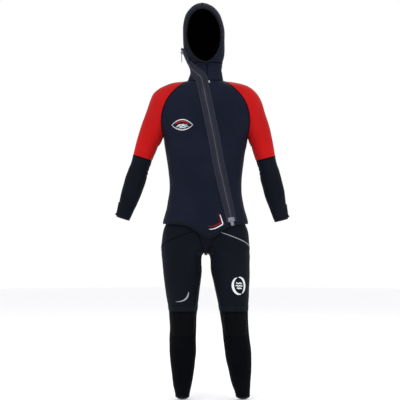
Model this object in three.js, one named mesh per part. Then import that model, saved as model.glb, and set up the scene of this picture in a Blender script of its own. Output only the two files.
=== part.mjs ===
// Two-piece hooded diving suit, shown filled out: a hooded jacket with a diagonal front zip, raglan
// sleeves and a beaver tail, over high-waisted trousers with knee pads.
// Millimetres. +X is the wearer's left, -Y the front, +Z up. Heights in this file are measured from
// the ankle hems; the finished group is lowered so that its origin is the middle of the neck seam.
import * as THREE from "three";

// ---- Driving dimensions -------------------------------------------------------------------------
const NEOPRENE = 5; // wall of every neoprene panel
const SEAM_GAP = 0.5; // between two panels along a seam
const REST_GAP = 0.35; // between a trim piece and the panel it lies on

const NECK_SEAM_Z = 1396;
const NECK_SIDE_X = 79;
const ARMPIT_Z = 1150;
const ARMPIT_X = 184;
const JACKET_HEM_Z = 775;
const HEM_DIP = 60; // how far the front hem drops towards the beaver tail
const HEM_BAND = 8;

const RAGLAN_BOW = 50; // how far the raglan seam curves out from its straight chord
const RAGLAN_DEPTH = 80;
const ARM_LEAN = { right: 18, left: 14.2 }; // degrees from vertical
const NOMINAL_LEAN = 16;
const FOREARM_HEM = 9;

const ZIP_FOOT_X = 112;
const ZIP_FOOT_Z = 782;
const ZIP_NECK_X = -16;
const ZIP_TAPE = 26; // half width of the two tapes together
const ZIP_CHAIN = 3.2; // half width of the toothed chain
const CHAIN_HEIGHT = 4.5;
const TAPE_THICK = 1.6;
const FLAP_WIDTH = 34;
const FLAP_THICK = 2.5;
const SLIDER_LENGTH = 20;
const SLIDER_WALL = 2.2;
const SLIDER_CLEAR = 0.5;
const PULL_LENGTH = 46;
const PULL_WIDTH = 9;

const FACE_HALF_WIDTH = 78;
const FACE_MID_Z = 1600;
const FACE_UP = 112;
const FACE_DOWN = 124;
const FACE_SEAL = 9;

const CROTCH_Z = 645;
const RISE = 80; // height over which the seat closes round the crotch
const LEG_X = 97; // middle of each leg at the crotch
const LEG_SPLAY = { right: 0.007, left: 0.104 }; // sideways travel per unit of height
const WAIST_Z = 930;
const WAISTBAND = 16;
const HIP_PANEL_Z = 662;
const GROIN_Z = 558;
const THIGH_END_Z = 386;
const KNEE_BAND = 26;
const KNEE_END_Z = 260;
const ANKLE_HEM = 10;
const ANKLE_DIP = 20; // how much lower the trouser hem is in front than at the back
const PAD_THICK = 4;
const BAND_THICK = 1.6;
const MARK_THICK = 0.9;
const TAB_FROM_TAPE = 1.2; // between the zip tape and the neck tab
const TAB_WIDTH = 6.4;
const TAIL_THICK = 4;
const TAIL_HALF_TOP = 26;
const TAIL_HALF_CROTCH = 7;
const TAIL_LIFT = 2; // clearance between the tail and the trousers

// ---- Body profiles: height, then half width, front depth, back depth -----------------------------
const TRUNK = [
  [700, 192, 118, 118],
  [777, 186, 118, 121],
  [850, 167, 108, 107],
  [940, 157, 102, 100],
  [1040, 167, 112, 108],
  [ARMPIT_Z, ARMPIT_X, 121, 118],
  [1270, ARMPIT_X, 116, 122],
  [1340, 150, 98, 112],
  [NECK_SEAM_Z, NECK_SIDE_X, 62, 70],
];
// Neck and hood: row number, height, centre x, half width, front depth, back depth.
const HOOD = [
  [0, NECK_SEAM_Z, 0, NECK_SIDE_X, 62, 70],
  [1, 1437, 3, 69, 60, 66],
  [2, 1474, 0, 74, 70, 76],
  [3, 1512, -4, 87, 88, 96],
  [4, 1572, -7, 92, 101, 108],
  [5, 1632, -9, 90, 105, 112],
  [6, 1682, -12, 78, 92, 100],
  [7, 1716, -13, 55, 64, 70],
  [8, 1735, -14, 28, 32, 36],
  [9, 1742, -14, 1, 1, 1],
];
// Sleeve ribs over the shoulder: rib number, outer x and z, inner x and z, half depth, bow.
const SHOULDER_RIBS = [
  [0, NECK_SIDE_X, NECK_SEAM_Z, ARMPIT_X, ARMPIT_Z, RAGLAN_DEPTH, RAGLAN_BOW],
  [1, (NECK_SIDE_X + ARMPIT_X) / 2 + 5.5, 1389, ARMPIT_X + 2, 1147, 79, 38],
  [2, ARMPIT_X + 6, 1371, ARMPIT_X + 4, 1144, 76, 25],
  [3, ARMPIT_X + 42, 1343, ARMPIT_X + 6, 1140, 71, 13],
  [4, ARMPIT_X + 62, 1306, ARMPIT_X + 8, 1134, 66, 5],
  [5, ARMPIT_X + 80, 1250, ARMPIT_X + 12, 1124, 61, 0],
  [6, ARMPIT_X + 99, 1194, ARMPIT_X + 19, 1112, 57, 0],
];
// Sleeve below the shoulder: rib number, distance down the arm, half width, half depth.
const ARM_RIBS = [
  [7, 0, 48, 52],
  [8, 63, 43, 47],
  [9, 112, 42, 44],
  [10, 162, 45, 46],
  [11, 235, 42, 41],
  [12, 308, 33, 32],
  [13, 344, 30, 29],
];
const ARM_TOP = [ARMPIT_X + 70, 1116];
const ARM_PIVOT = [ARMPIT_X + 41, 1230];
const SLEEVE_SEAM_RIB = 8;
const FOREARM_RIB = 10;
const WRIST_RIB = 13;
// Trousers: height, outer half width from the leg's middle, inner half width (above the crotch the
// distance from the leg's middle to the centre seam), front depth, back depth.
const LEG = [
  [-2, 30, 30, 34, 38],
  [29, 33, 33, 36, 42],
  [64, 40, 40, 38, 46],
  [134, 50, 50, 46, 57],
  [200, 57, 57, 52, 66],
  [260, 57, 57, 56, 66],
  [322, 57, 57, 60, 60],
  [386, 62, 61, 66, 64],
  [486, 78, 72, 80, 82],
  [558, 87, 80, 88, 94],
  [632, 95, 80, 94, 108],
  [CROTCH_Z, 95, LEG_X, 95, 110],
  [700, 103, 87, 98, 114],
  [740, 109, 75, 97, 108],
  [777, 108, 61, 92, 99],
  [850, 100, 52, 86, 90],
  [WAIST_Z, 95, 48, 82, 82],
];

const FINISH = {
  shell: { color: 0x1a1e2c, roughness: 0.72, metalness: 0 },
  shellDark: { color: 0x0d1118, roughness: 0.66, metalness: 0 },
  red: { color: 0xc01617, roughness: 0.7, metalness: 0 },
  tape: { color: 0x353743, roughness: 0.6, metalness: 0 },
  chain: { color: 0x4a4c57, roughness: 0.35, metalness: 0.1 },
  metal: { color: 0x8b8e95, roughness: 0.3, metalness: 0.9 },
  pad: { color: 0x07090c, roughness: 0.5, metalness: 0 },
  print: { color: 0xdedfe2, roughness: 0.45, metalness: 0 },
  trim: { color: 0x6d7078, roughness: 0.5, metalness: 0 },
};

// ---- Small tools ---------------------------------------------------------------------------------
const V = (x, y, z) => new THREE.Vector3(x, y, z);
const lerp = THREE.MathUtils.lerp;
const radians = THREE.MathUtils.degToRad;
const ease = (t) => THREE.MathUtils.smoothstep(t, 0, 1);
const steps = (from, to, count) => Array.from({ length: count + 1 }, (_, i) => lerp(from, to, i / count));
const SIDES = { right: -1, left: 1 };

// A smooth curve through the rows of a table: the first column is the key, the others are values.
function profile(rows) {
  const slope = (i, column) => {
    const before = rows[Math.max(0, i - 1)];
    const after = rows[Math.min(rows.length - 1, i + 1)];
    return (after[column] - before[column]) / (after[0] - before[0]);
  };
  return (wanted) => {
    const key = THREE.MathUtils.clamp(wanted, rows[0][0], rows.at(-1)[0]);
    const above = rows.findIndex((row) => row[0] > key);
    const i = above < 1 ? rows.length - 2 : above - 1;
    const span = rows[i + 1][0] - rows[i][0];
    const t = (key - rows[i][0]) / span;
    return rows[i].slice(1).map((value, c) => {
      const rise = rows[i + 1][c + 1] - value;
      const start = slope(i, c + 1) * span;
      const end = slope(i + 1, c + 1) * span;
      const bend = (3 * rise - 2 * start - end) * t * t + (start + end - 2 * rise) * t * t * t;
      return value + start * t + bend;
    });
  };
}

// A closed solid under a grid of points. point(u, v) gives a point of the outer face and the
// direction in which the wall grows; a ring closes on itself in u.
function shell(us, vs, wall, point, { ring = false, gap = SEAM_GAP } = {}) {
  const columns = us.length;
  const outer = [];
  const grow = [];
  for (const v of vs) {
    for (const u of us) {
      const [p, direction] = point(u, v);
      outer.push(p);
      grow.push(direction.clone().normalize());
    }
  }
  const at = (i, j) => j * columns + i;
  const pull = (edge, next) => {
    const move = outer[next].clone().sub(outer[edge]);
    return outer[edge].clone().addScaledVector(move, Math.min(0.4, gap / 2 / Math.max(move.length(), 1e-6)));
  };
  const last = vs.length - 1;
  const trimmed = outer.map((p) => p.clone());
  for (let i = 0; i < columns; i++) {
    trimmed[at(i, 0)] = pull(at(i, 0), at(i, 1));
    trimmed[at(i, last)] = pull(at(i, last), at(i, last - 1));
  }
  for (let j = 0; j <= last && !ring; j++) {
    for (const [edge, next] of [[0, 1], [columns - 1, columns - 2]]) {
      const shift = pull(at(edge, j), at(next, j)).sub(outer[at(edge, j)]);
      trimmed[at(edge, j)].add(shift);
    }
  }
  const inner = trimmed.map((p, k) => p.clone().addScaledVector(grow[k], wall));
  const points = [...trimmed, ...inner];
  const faces = [];
  const quad = (a, b, c, d) => faces.push(a, b, c, a, c, d);
  const across = ring ? columns : columns - 1;
  const deep = trimmed.length;
  for (let j = 0; j < last; j++) {
    for (let i = 0; i < across; i++) {
      const k = (i + 1) % columns;
      quad(at(i, j), at(k, j), at(k, j + 1), at(i, j + 1));
      quad(deep + at(i, j), deep + at(i, j + 1), deep + at(k, j + 1), deep + at(k, j));
    }
  }
  for (let i = 0; i < across; i++) {
    const k = (i + 1) % columns;
    quad(at(k, 0), at(i, 0), deep + at(i, 0), deep + at(k, 0));
    quad(at(i, last), at(k, last), deep + at(k, last), deep + at(i, last));
  }
  for (let j = 0; j < last && !ring; j++) {
    const end = columns - 1;
    quad(at(0, j), at(0, j + 1), deep + at(0, j + 1), deep + at(0, j));
    quad(at(end, j + 1), at(end, j), deep + at(end, j), deep + at(end, j + 1));
  }
  return facingOut(points, faces);
}

// A geometry from points and triangles, turned so that its faces point out.
function facingOut(points, faces) {
  let volume = 0;
  for (let i = 0; i < faces.length; i += 3) {
    const [a, b, c] = [points[faces[i]], points[faces[i + 1]], points[faces[i + 2]]];
    volume += a.dot(b.clone().cross(c));
  }
  const index = volume > 0 ? faces : faces.toReversed();
  const geometry = new THREE.BufferGeometry();
  geometry.setFromPoints(points);
  geometry.setIndex(index);
  return geometry;
}

// The same surface point moved outwards, for a trim piece of a given thickness lying on a panel.
const lifted = (surface, thick, gap = REST_GAP) => (u, v) => {
  const [p, inwards] = surface(u, v);
  const direction = inwards.clone().normalize();
  return [p.clone().addScaledVector(direction, -(gap + thick)), direction];
};

const suit = new THREE.Group();
suit.position.z = -NECK_SEAM_Z;

function add(name, geometry, finish, parent = suit) {
  geometry.computeVertexNormals();
  const mesh = new THREE.Mesh(geometry, new THREE.MeshStandardMaterial(FINISH[finish]));
  mesh.name = name;
  parent.add(mesh);
  return mesh;
}

// ---- Jacket body ---------------------------------------------------------------------------------
const trunk = profile(TRUNK);
const LOWER_ROWS = 8;
const SEAM_ROWS = 10; // rows beside the raglan seam, and ribs' points on each half of a sleeve
const TRUNK_LEVELS = [...steps(0, 1, LOWER_ROWS), ...steps(1, 2, SEAM_ROWS).slice(1)];

// Front hem height for a place across the front, from -1 at one side seam to 1 at the other.
const hemHeight = (s) => JACKET_HEM_Z - HEM_DIP * Math.exp(-(((s - 0.08) / 0.36) ** 2));

// The edge of the body panels at a level: side seam from 0 to 1, raglan seam from 1 to 2.
function bodyEdge(level) {
  if (level <= 1) {
    const z = lerp(JACKET_HEM_Z, ARMPIT_Z, level);
    return { x: trunk(z)[0], y: 0, z, round: 0.5, power: 2.4 };
  }
  const angle = Math.PI * (2 - level);
  const p = sleevePoint(0, angle, "left")[0];
  const turn = Math.sin(angle);
  return { x: p.x, y: Math.abs(p.y), z: p.z, round: 0.5 + 0.5 * turn, power: lerp(2, 2.4, 2 - level) };
}

// Body surface: s runs from -1 to 1 between the side edges; facing is -1 in front and 1 behind.
function bodyPoint(s, level, facing) {
  const edge = bodyEdge(level);
  const hem = facing < 0 ? hemHeight(s) : JACKET_HEM_Z;
  const z = level <= 1 ? lerp(hem, ARMPIT_Z, level) : edge.z;
  const [halfWidth, front, back] = trunk(z);
  const x = s * (level <= 1 ? halfWidth : edge.x);
  const deepest = facing < 0 ? front : back;
  const bulge = Math.max(0, 1 - Math.abs(s) ** edge.power) ** edge.round;
  const y = facing * (edge.y + (deepest - edge.y) * bulge);
  return [V(x, y, z), V(-x, -y, 0)];
}

const zipX = (z) => lerp(ZIP_FOOT_X, ZIP_NECK_X, (z - ZIP_FOOT_Z) / (NECK_SEAM_Z - ZIP_FOOT_Z));
const zipPlace = (level) => {
  const edge = bodyEdge(level);
  return zipX(edge.z) / edge.x;
};
const front = (s, level) => bodyPoint(s, level, -1);

const RIGHT_COLUMNS = 12;
const LEFT_COLUMNS = 8;
const BACK_COLUMNS = 16;

function makeJacketBody() {
  const half = (from, to) => (u, level) => front(lerp(from(level), to(level), u), level);
  const right = half(() => -1, zipPlace);
  const left = half(zipPlace, () => 1);
  add("torso_front_right", shell(steps(0, 1, RIGHT_COLUMNS), TRUNK_LEVELS, NEOPRENE, right), "shell");
  add("torso_front_left", shell(steps(0, 1, LEFT_COLUMNS), TRUNK_LEVELS, NEOPRENE, left), "shell");
  const behind = (s, level) => bodyPoint(s, level, 1);
  add("torso_back", shell(steps(-1, 1, BACK_COLUMNS), TRUNK_LEVELS, NEOPRENE, behind), "shell");

  // The turned hem below all three panels, with its points under theirs.
  const acrossFront = [...steps(-1, zipPlace(0), RIGHT_COLUMNS), ...steps(zipPlace(0), 1, LEFT_COLUMNS).slice(1)];
  const acrossBack = steps(1, -1, BACK_COLUMNS).slice(1, -1);
  const places = [...acrossFront.map((s) => [s, -1]), ...acrossBack.map((s) => [s, 1])];
  const hemBand = (k, v) => {
    const [s, facing] = places[k];
    const [p, inwards] = bodyPoint(s, 0, facing);
    p.z -= SEAM_GAP / 2 + HEM_BAND * (1 - v);
    return [p, inwards];
  };
  const band = shell(places.map((_, k) => k), [0, 1], NEOPRENE, hemBand, { ring: true });
  add("hem_band", band, "shellDark");
}

// ---- Sleeves -------------------------------------------------------------------------------------
const shoulderRib = profile(SHOULDER_RIBS.concat([armRow(ARM_RIBS[0]), armRow(ARM_RIBS[1])]));
const armRib = profile(ARM_RIBS);

// An arm row written as a shoulder row: the ends of its rib, its depth and no bow.
function armRow([rib, distance, halfWidth, depth]) {
  const lean = radians(NOMINAL_LEAN);
  const x = ARM_TOP[0] + distance * Math.sin(lean);
  const z = ARM_TOP[1] - distance * Math.cos(lean);
  const dx = halfWidth * Math.cos(lean);
  const dz = halfWidth * Math.sin(lean);
  return [rib, x + dx, z + dz, x - dx, z - dz, depth, 0];
}

// Ends and depth of a rib on one side, with that arm's own lean.
function ribOf(rib, side) {
  const row = rib < 7 ? shoulderRib(rib) : armRow([rib, ...armRib(rib)]).slice(1);
  const [outerX, outerZ, innerX, innerZ, depth, bow] = row;
  const turn = radians(ARM_LEAN[side] - NOMINAL_LEAN) * ease((rib - 3) / 4);
  const swing = (x, z) => {
    const dx = x - ARM_PIVOT[0];
    const dz = z - ARM_PIVOT[1];
    const cos = Math.cos(turn);
    const sin = Math.sin(turn);
    return [ARM_PIVOT[0] + dx * cos - dz * sin, ARM_PIVOT[1] + dx * sin + dz * cos];
  };
  return { outer: swing(outerX, outerZ), inner: swing(innerX, innerZ), depth, bow };
}

// Sleeve surface: angle 0 is the outer line of the arm, pi the inner line, the front in between.
function sleevePoint(rib, angle, side) {
  const { outer, inner, depth, bow } = ribOf(rib, side);
  const half = [(outer[0] - inner[0]) / 2, (outer[1] - inner[1]) / 2];
  const length = Math.hypot(...half);
  const out = [half[1] / length, -half[0] / length];
  const bend = bow * Math.sin(angle) ** 2;
  const cx = (outer[0] + inner[0]) / 2 + out[0] * bend;
  const cz = (outer[1] + inner[1]) / 2 + out[1] * bend;
  const sign = SIDES[side];
  const p = V(sign * (cx + half[0] * Math.cos(angle)), -depth * Math.sin(angle), cz + half[1] * Math.cos(angle));
  return [p, V(sign * cx, 0, cz).sub(p)];
}

// The middle of the arm at a rib.
const armMiddle = (rib, side) => {
  const { outer, inner } = ribOf(rib, side);
  return V((SIDES[side] * (outer[0] + inner[0])) / 2, 0, (outer[1] + inner[1]) / 2);
};

function makeSleeve(side) {
  const angles = steps(0, 2 * Math.PI, 2 * SEAM_ROWS).slice(0, -1);
  const surface = (angle, rib) => sleevePoint(rib, angle, side);
  const ring = { ring: true };
  const hemRib = WRIST_RIB - FOREARM_HEM / 36;
  add(`sleeve_upper_${side}`, shell(angles, steps(0, SLEEVE_SEAM_RIB, 14), NEOPRENE, surface, ring), "red");
  add(`elbow_${side}`, shell(angles, steps(SLEEVE_SEAM_RIB, FOREARM_RIB, 4), NEOPRENE, surface, ring), "shell");
  add(`forearm_${side}`, shell(angles, steps(FOREARM_RIB, hemRib, 5), NEOPRENE, surface, ring), "shell");
  add(`cuff_hem_${side}`, shell(angles, [hemRib, WRIST_RIB], NEOPRENE, surface, ring), "shellDark");
}

// ---- Neck and hood -------------------------------------------------------------------------------
const hood = profile(HOOD);
const HOOD_SEAM_ROW = 2;

// Neck and hood surface: turn 0 is the front middle, positive towards +X.
function hoodPoint(turn, row) {
  const [z, middle, halfWidth, frontDepth, backDepth] = hood(row);
  const depth = Math.cos(turn) > 0 ? frontDepth : backDepth;
  const p = V(middle + halfWidth * Math.sin(turn), -depth * Math.cos(turn), z);
  const heart = V(middle, 0, Math.min(z, FACE_MID_Z + 20));
  return [p, heart.sub(p)];
}

// Row of the hood table at a height.
function hoodRow(height) {
  let low = 0;
  let high = HOOD.length - 1;
  for (let i = 0; i < 30; i++) {
    const middle = (low + high) / 2;
    if (hood(middle)[0] < height) low = middle;
    else high = middle;
  }
  return (low + high) / 2;
}

// Half angle of the face opening at a row: the opening is an egg, taller below its middle.
function faceTurn(row) {
  const [z, , halfWidth] = hood(row);
  const reach = (z - FACE_MID_Z) / (z > FACE_MID_Z ? FACE_UP : FACE_DOWN);
  const open = FACE_HALF_WIDTH * Math.sqrt(Math.max(0, 1 - reach * reach));
  return Math.asin(Math.min(1, open / halfWidth));
}

const FACE_ROWS = steps(Math.PI, 0, 12).map((angle) => {
  const tall = Math.cos(angle) > 0 ? FACE_UP : FACE_DOWN;
  return hoodRow(FACE_MID_Z + tall * Math.cos(angle));
});

function makeHood() {
  const collarTurns = steps(-Math.PI, Math.PI, 28).slice(0, -1);
  const collar = shell(collarTurns, steps(0, HOOD_SEAM_ROW, 5), NEOPRENE, hoodPoint, { ring: true });
  add("collar", collar, "shell");
  const crown = steps(FACE_ROWS.at(-1), HOOD.length - 1, 6).slice(1);
  const rows = [HOOD_SEAM_ROW, ...FACE_ROWS, ...crown].sort((a, b) => a - b);
  for (const [side, sign] of Object.entries(SIDES)) {
    const surface = (u, row) => hoodPoint(sign * lerp(faceTurn(row), Math.PI, u), row);
    add(`hood_${side}`, shell(steps(0, 1, 12), rows, NEOPRENE, surface), "shell");
  }
  // Face seal: a thin skin from the edge of the opening inwards.
  const heart = V(hood(4)[1], 0, FACE_MID_Z);
  const rim = [...FACE_ROWS.map((row) => [row, 1]), ...FACE_ROWS.slice(1, -1).reverse().map((row) => [row, -1])];
  const seal = (k, v) => {
    const [row, sign] = rim[k];
    const [p, wallWay] = hoodPoint(sign * faceTurn(row), row);
    const inwards = V(heart.x - p.x, 0, heart.z - p.z).normalize();
    p.addScaledVector(wallWay.normalize(), NEOPRENE).addScaledVector(inwards, SEAM_GAP + FACE_SEAL * v);
    p.y += 4 * v;
    return [p, V(0, 1, 0)];
  };
  const around = rim.map((_, k) => k);
  add("face_seal", shell(around, [0, 0.5, 1], 2.4, seal, { ring: true, gap: 0 }), "shellDark");
}

// ---- Main zip ------------------------------------------------------------------------------------
// Stations of the zip: a surface point with its normal and the bend of the surface across it.
function zipStation(surface, u, v, across, upwards) {
  const p = surface(u, v)[0];
  const ahead = surface(u + across, v)[0];
  const behind = surface(u - across, v)[0];
  const above = surface(u, v + upwards)[0].sub(surface(u, v - upwards)[0]);
  const sideways = ahead.clone().sub(behind);
  const normal = sideways.clone().cross(above).normalize();
  const sag = p.clone().sub(ahead.clone().add(behind).multiplyScalar(0.5)).dot(normal);
  return { p, normal, radius: sideways.lengthSq() / (8 * Math.max(sag, 0.4)) };
}

const NECK_TURNS = [[0.35, -0.3], [0.8, -0.66], [1.25, -0.98]]; // row and turn up the neck
const ZIP_TOP = [[2.05, -1.24], [3.42, -1.42]]; // ends of the straight stretch beside the hood
const STRAIGHT_LIFT = 4.5;
const NECK_LIFT = 1;
const NECK_STATION = 12; // the last station below the neck seam

const zipLine = (() => {
  const stations = [];
  for (const level of [0.03, 0.15, 0.3, 0.45, 0.6, 0.75, 0.9, 1.1, 1.3, 1.5, 1.7, 1.85, 1.96]) {
    stations.push(zipStation(front, zipPlace(level), level, 0.1, 0.02));
  }
  for (const [row, turn] of NECK_TURNS) stations.push(zipStation(hoodPoint, turn, row, 0.3, 0.1));
  const [low, high] = ZIP_TOP.map(([row, turn]) => zipStation(hoodPoint, turn, row, 0.3, 0.1));
  const normal = low.normal.clone().add(high.normal).normalize();
  const radius = (low.radius + high.radius) / 2;
  for (const share of [0, 0.33, 0.67, 1]) {
    const p = low.p.clone().lerp(high.p, share).addScaledVector(normal, STRAIGHT_LIFT);
    stations.push({ p, normal, radius });
  }
  return stations;
})();
const ZIP_LAST = zipLine.length - 1;
const ZIP_STRAIGHT = ZIP_LAST - 3;
const zipRows = profile(zipLine.map(({ p, normal, radius }, k) => [k, ...p.toArray(), ...normal.toArray(), 1 / radius]));

// Place and directions on the zip at a station number: up the zip, across it and out of it.
function zipFrame(k) {
  const middle = (at) => {
    if (at <= ZIP_STRAIGHT) return V(...zipRows(at).slice(0, 3));
    const share = (at - ZIP_STRAIGHT) / (ZIP_LAST - ZIP_STRAIGHT);
    return zipLine[ZIP_STRAIGHT].p.clone().lerp(zipLine[ZIP_LAST].p, share);
  };
  const up = middle(Math.min(k + 0.05, ZIP_LAST)).sub(middle(Math.max(k - 0.05, 0))).normalize();
  const rows = zipRows(k);
  const out = V(...rows.slice(3, 6));
  out.addScaledVector(up, -out.dot(up)).normalize();
  return { p: middle(k), up, out, across: up.clone().cross(out), bend: rows[6] };
}

// The point of the jacket front, neck or hood at the height and across the place of another point.
function settled(p) {
  if (p.z > NECK_SEAM_Z) {
    const row = hoodRow(p.z);
    const [, middle, halfWidth, frontDepth] = hood(row);
    return hoodPoint(Math.atan2((p.x - middle) / halfWidth, -p.y / frontDepth), row)[0];
  }
  let [low, high] = [0, 2];
  for (let i = 0; i < 30; i++) {
    const level = (low + high) / 2;
    if (front(p.x / bodyEdge(level).x, level)[0].z < p.z) low = level;
    else high = level;
  }
  return front(p.x / bodyEdge(low).x, low)[0];
}

// The zip stands a little further off the neck and hood than off the jacket front.
const neckLift = (k) => NECK_LIFT * ease((k - NECK_STATION) / 2);

// Surface of the zip at a distance across it and a height above the panels.
const zipSurface = (height) => (offset, k) => {
  const { p, out, across, bend } = zipFrame(k);
  const angle = offset * bend;
  const place = p.clone().addScaledVector(across, Math.sin(angle) / bend);
  place.addScaledVector(out, (Math.cos(angle) - 1) / bend);
  const outwards = out.clone().multiplyScalar(Math.cos(angle)).addScaledVector(across, Math.sin(angle));
  const rest = k < ZIP_STRAIGHT ? settled(place) : place;
  return [rest.addScaledVector(outwards, height + neckLift(k)), outwards.negate()];
};

const ZIP_LIFT = 1;

// A group whose axes are the zip's: X across, Y up the zip, Z out of it.
function zipGroup(k, along = 0) {
  const { p, up, out, across } = zipFrame(k);
  const group = new THREE.Group();
  group.quaternion.setFromRotationMatrix(new THREE.Matrix4().makeBasis(across, up, out));
  group.position.copy(p).addScaledVector(up, along).addScaledVector(out, ZIP_LIFT + neckLift(k));
  suit.add(group);
  return group;
}

function block(width, length, height) {
  return new THREE.BoxGeometry(width, length, height);
}

// A bar of a given outline (in X and Z) and length along Y, centred on Y.
function bar(outline, length) {
  const shape = new THREE.Shape(outline.map(([x, z]) => new THREE.Vector2(x, z)));
  const geometry = new THREE.ExtrudeGeometry(shape, { depth: length, bevelEnabled: false });
  geometry.rotateX(Math.PI / 2);
  geometry.translate(0, length / 2, 0);
  return geometry;
}

const SLIDER_ROOF = CHAIN_HEIGHT + SLIDER_CLEAR;
const BAIL_HEIGHT = 7;
const BAIL_LENGTH = 12;
const BAIL_WALL = 2;
const PIN = 2.2;

function makeMainZip() {
  const ks = steps(0, ZIP_LAST, 2 * ZIP_LAST);
  const tapeTop = zipSurface(ZIP_LIFT + TAPE_THICK);
  const inside = ZIP_CHAIN + 0.4;
  for (const [side, sign] of Object.entries(SIDES)) {
    const offsets = [inside, 14, ZIP_TAPE].map((offset) => sign * offset);
    add(`zip_tape_${side}`, shell(offsets, ks, TAPE_THICK, tapeTop, { gap: 0 }), "tape");
  }
  const chainTop = zipSurface(ZIP_LIFT + CHAIN_HEIGHT);
  const chain = shell([-ZIP_CHAIN, ZIP_CHAIN], ks, CHAIN_HEIGHT, chainTop, { gap: 0 });
  add("zip_chain", chain, "chain");

  const flap = (u, level) => {
    const [p, inwards] = front(zipPlace(level) + (u * FLAP_WIDTH) / bodyEdge(level).x, level);
    const direction = inwards.normalize();
    return [p.addScaledVector(direction, NEOPRENE + 2 * REST_GAP), direction];
  };
  const flapLevels = TRUNK_LEVELS.slice(1, -2);
  add("zip_backing_flap", shell([-1, 0, 1], flapLevels, FLAP_THICK, flap, { gap: 0 }), "shellDark");

  const foot = zipGroup(0, -9 - REST_GAP);
  const footBox = block(15, 18, CHAIN_HEIGHT + 1).translate(0, 0, (CHAIN_HEIGHT + 1) / 2);
  add("zip_foot_box", footBox, "metal", foot);
  const stop = zipGroup(ZIP_LAST, 3 + REST_GAP);
  const stopBlock = block(ZIP_TAPE, 6, CHAIN_HEIGHT + 2).translate(0, 0, (CHAIN_HEIGHT + 2) / 2);
  add("zip_top_stop", stopBlock, "chain", stop);
  makeSlider();
}

// The slider straddles the chain above the tapes; its pull hangs straight down from the bail.
function makeSlider() {
  const group = zipGroup(ZIP_LAST, -SLIDER_LENGTH / 2 - 1);
  const inner = ZIP_CHAIN + SLIDER_CLEAR;
  const outer = inner + SLIDER_WALL;
  const foot = TAPE_THICK + SLIDER_CLEAR;
  const roof = SLIDER_ROOF + SLIDER_WALL;
  const body = [[inner, foot], [outer, foot], [outer, roof], [-outer, roof], [-outer, foot], [-inner, foot],
    [-inner, SLIDER_ROOF], [inner, SLIDER_ROOF]];
  add("zip_slider", bar(body, SLIDER_LENGTH), "metal", group);

  const bailTop = BAIL_HEIGHT;
  const halfBail = BAIL_LENGTH / 2;
  const arch = new THREE.Shape();
  arch.moveTo(-halfBail, 0);
  arch.lineTo(-halfBail, bailTop);
  arch.lineTo(halfBail, bailTop);
  arch.lineTo(halfBail, 0);
  arch.lineTo(halfBail - BAIL_WALL, 0);
  arch.lineTo(halfBail - BAIL_WALL, bailTop - BAIL_WALL);
  arch.lineTo(-halfBail + BAIL_WALL, bailTop - BAIL_WALL);
  arch.lineTo(-halfBail + BAIL_WALL, 0);
  const bail = new THREE.ExtrudeGeometry(arch, { depth: 3, bevelEnabled: false });
  bail.translate(0, 0, -1.5);
  bail.rotateZ(Math.PI / 2);
  bail.rotateY(Math.PI / 2);
  orientBail(bail, roof + REST_GAP);
  add("zip_bail", bail, "metal", group);

  // The pull is a plate with a window; its top bar is the pin under the bail.
  const hanging = new THREE.Group();
  hanging.position.set(0, 0, roof + REST_GAP + (BAIL_HEIGHT - BAIL_WALL) / 2);
  group.add(hanging);
  group.updateMatrixWorld(true);
  const toLocal = group.quaternion.clone().invert();
  const down = V(0, 0, -1).applyQuaternion(toLocal);
  hanging.rotation.x = Math.atan2(down.z, down.y) + Math.PI;
  const plate = new THREE.Shape();
  const w = PULL_WIDTH / 2;
  plate.moveTo(-w, PIN / 2);
  plate.lineTo(-w, -PULL_LENGTH + 3);
  plate.quadraticCurveTo(-w, -PULL_LENGTH, 0, -PULL_LENGTH);
  plate.quadraticCurveTo(w, -PULL_LENGTH, w, -PULL_LENGTH + 3);
  plate.lineTo(w, PIN / 2);
  const window = new THREE.Path();
  const inside = w - 2;
  window.moveTo(-inside, -PIN / 2);
  window.lineTo(inside, -PIN / 2);
  window.lineTo(inside, -PIN / 2 - 8);
  window.lineTo(-inside, -PIN / 2 - 8);
  plate.holes.push(window);
  const pull = new THREE.ExtrudeGeometry(plate, { depth: PIN, bevelEnabled: false, curveSegments: 5 });
  pull.translate(0, 0, -PIN / 2);
  add("zip_pull", pull, "metal", hanging);
}

// Sets the bail's arch along the zip (Y) standing up in Z on the slider's roof.
function orientBail(geometry, height) {
  geometry.computeBoundingBox();
  const { min } = geometry.boundingBox;
  geometry.translate(0, 0, height - min.z);
}

// ---- Wrist zips ----------------------------------------------------------------------------------
const WRIST_ZIP = [11.55, 12.8]; // ribs between which the wrist zip runs
const WRIST_TAPE = 8;
const WRIST_RIDGE = 2;
const WRIST_RIDGE_HEIGHT = 3.2;
const WRIST_SLIDER = 9;
const WRIST_LIFT = 0.9;

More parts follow.
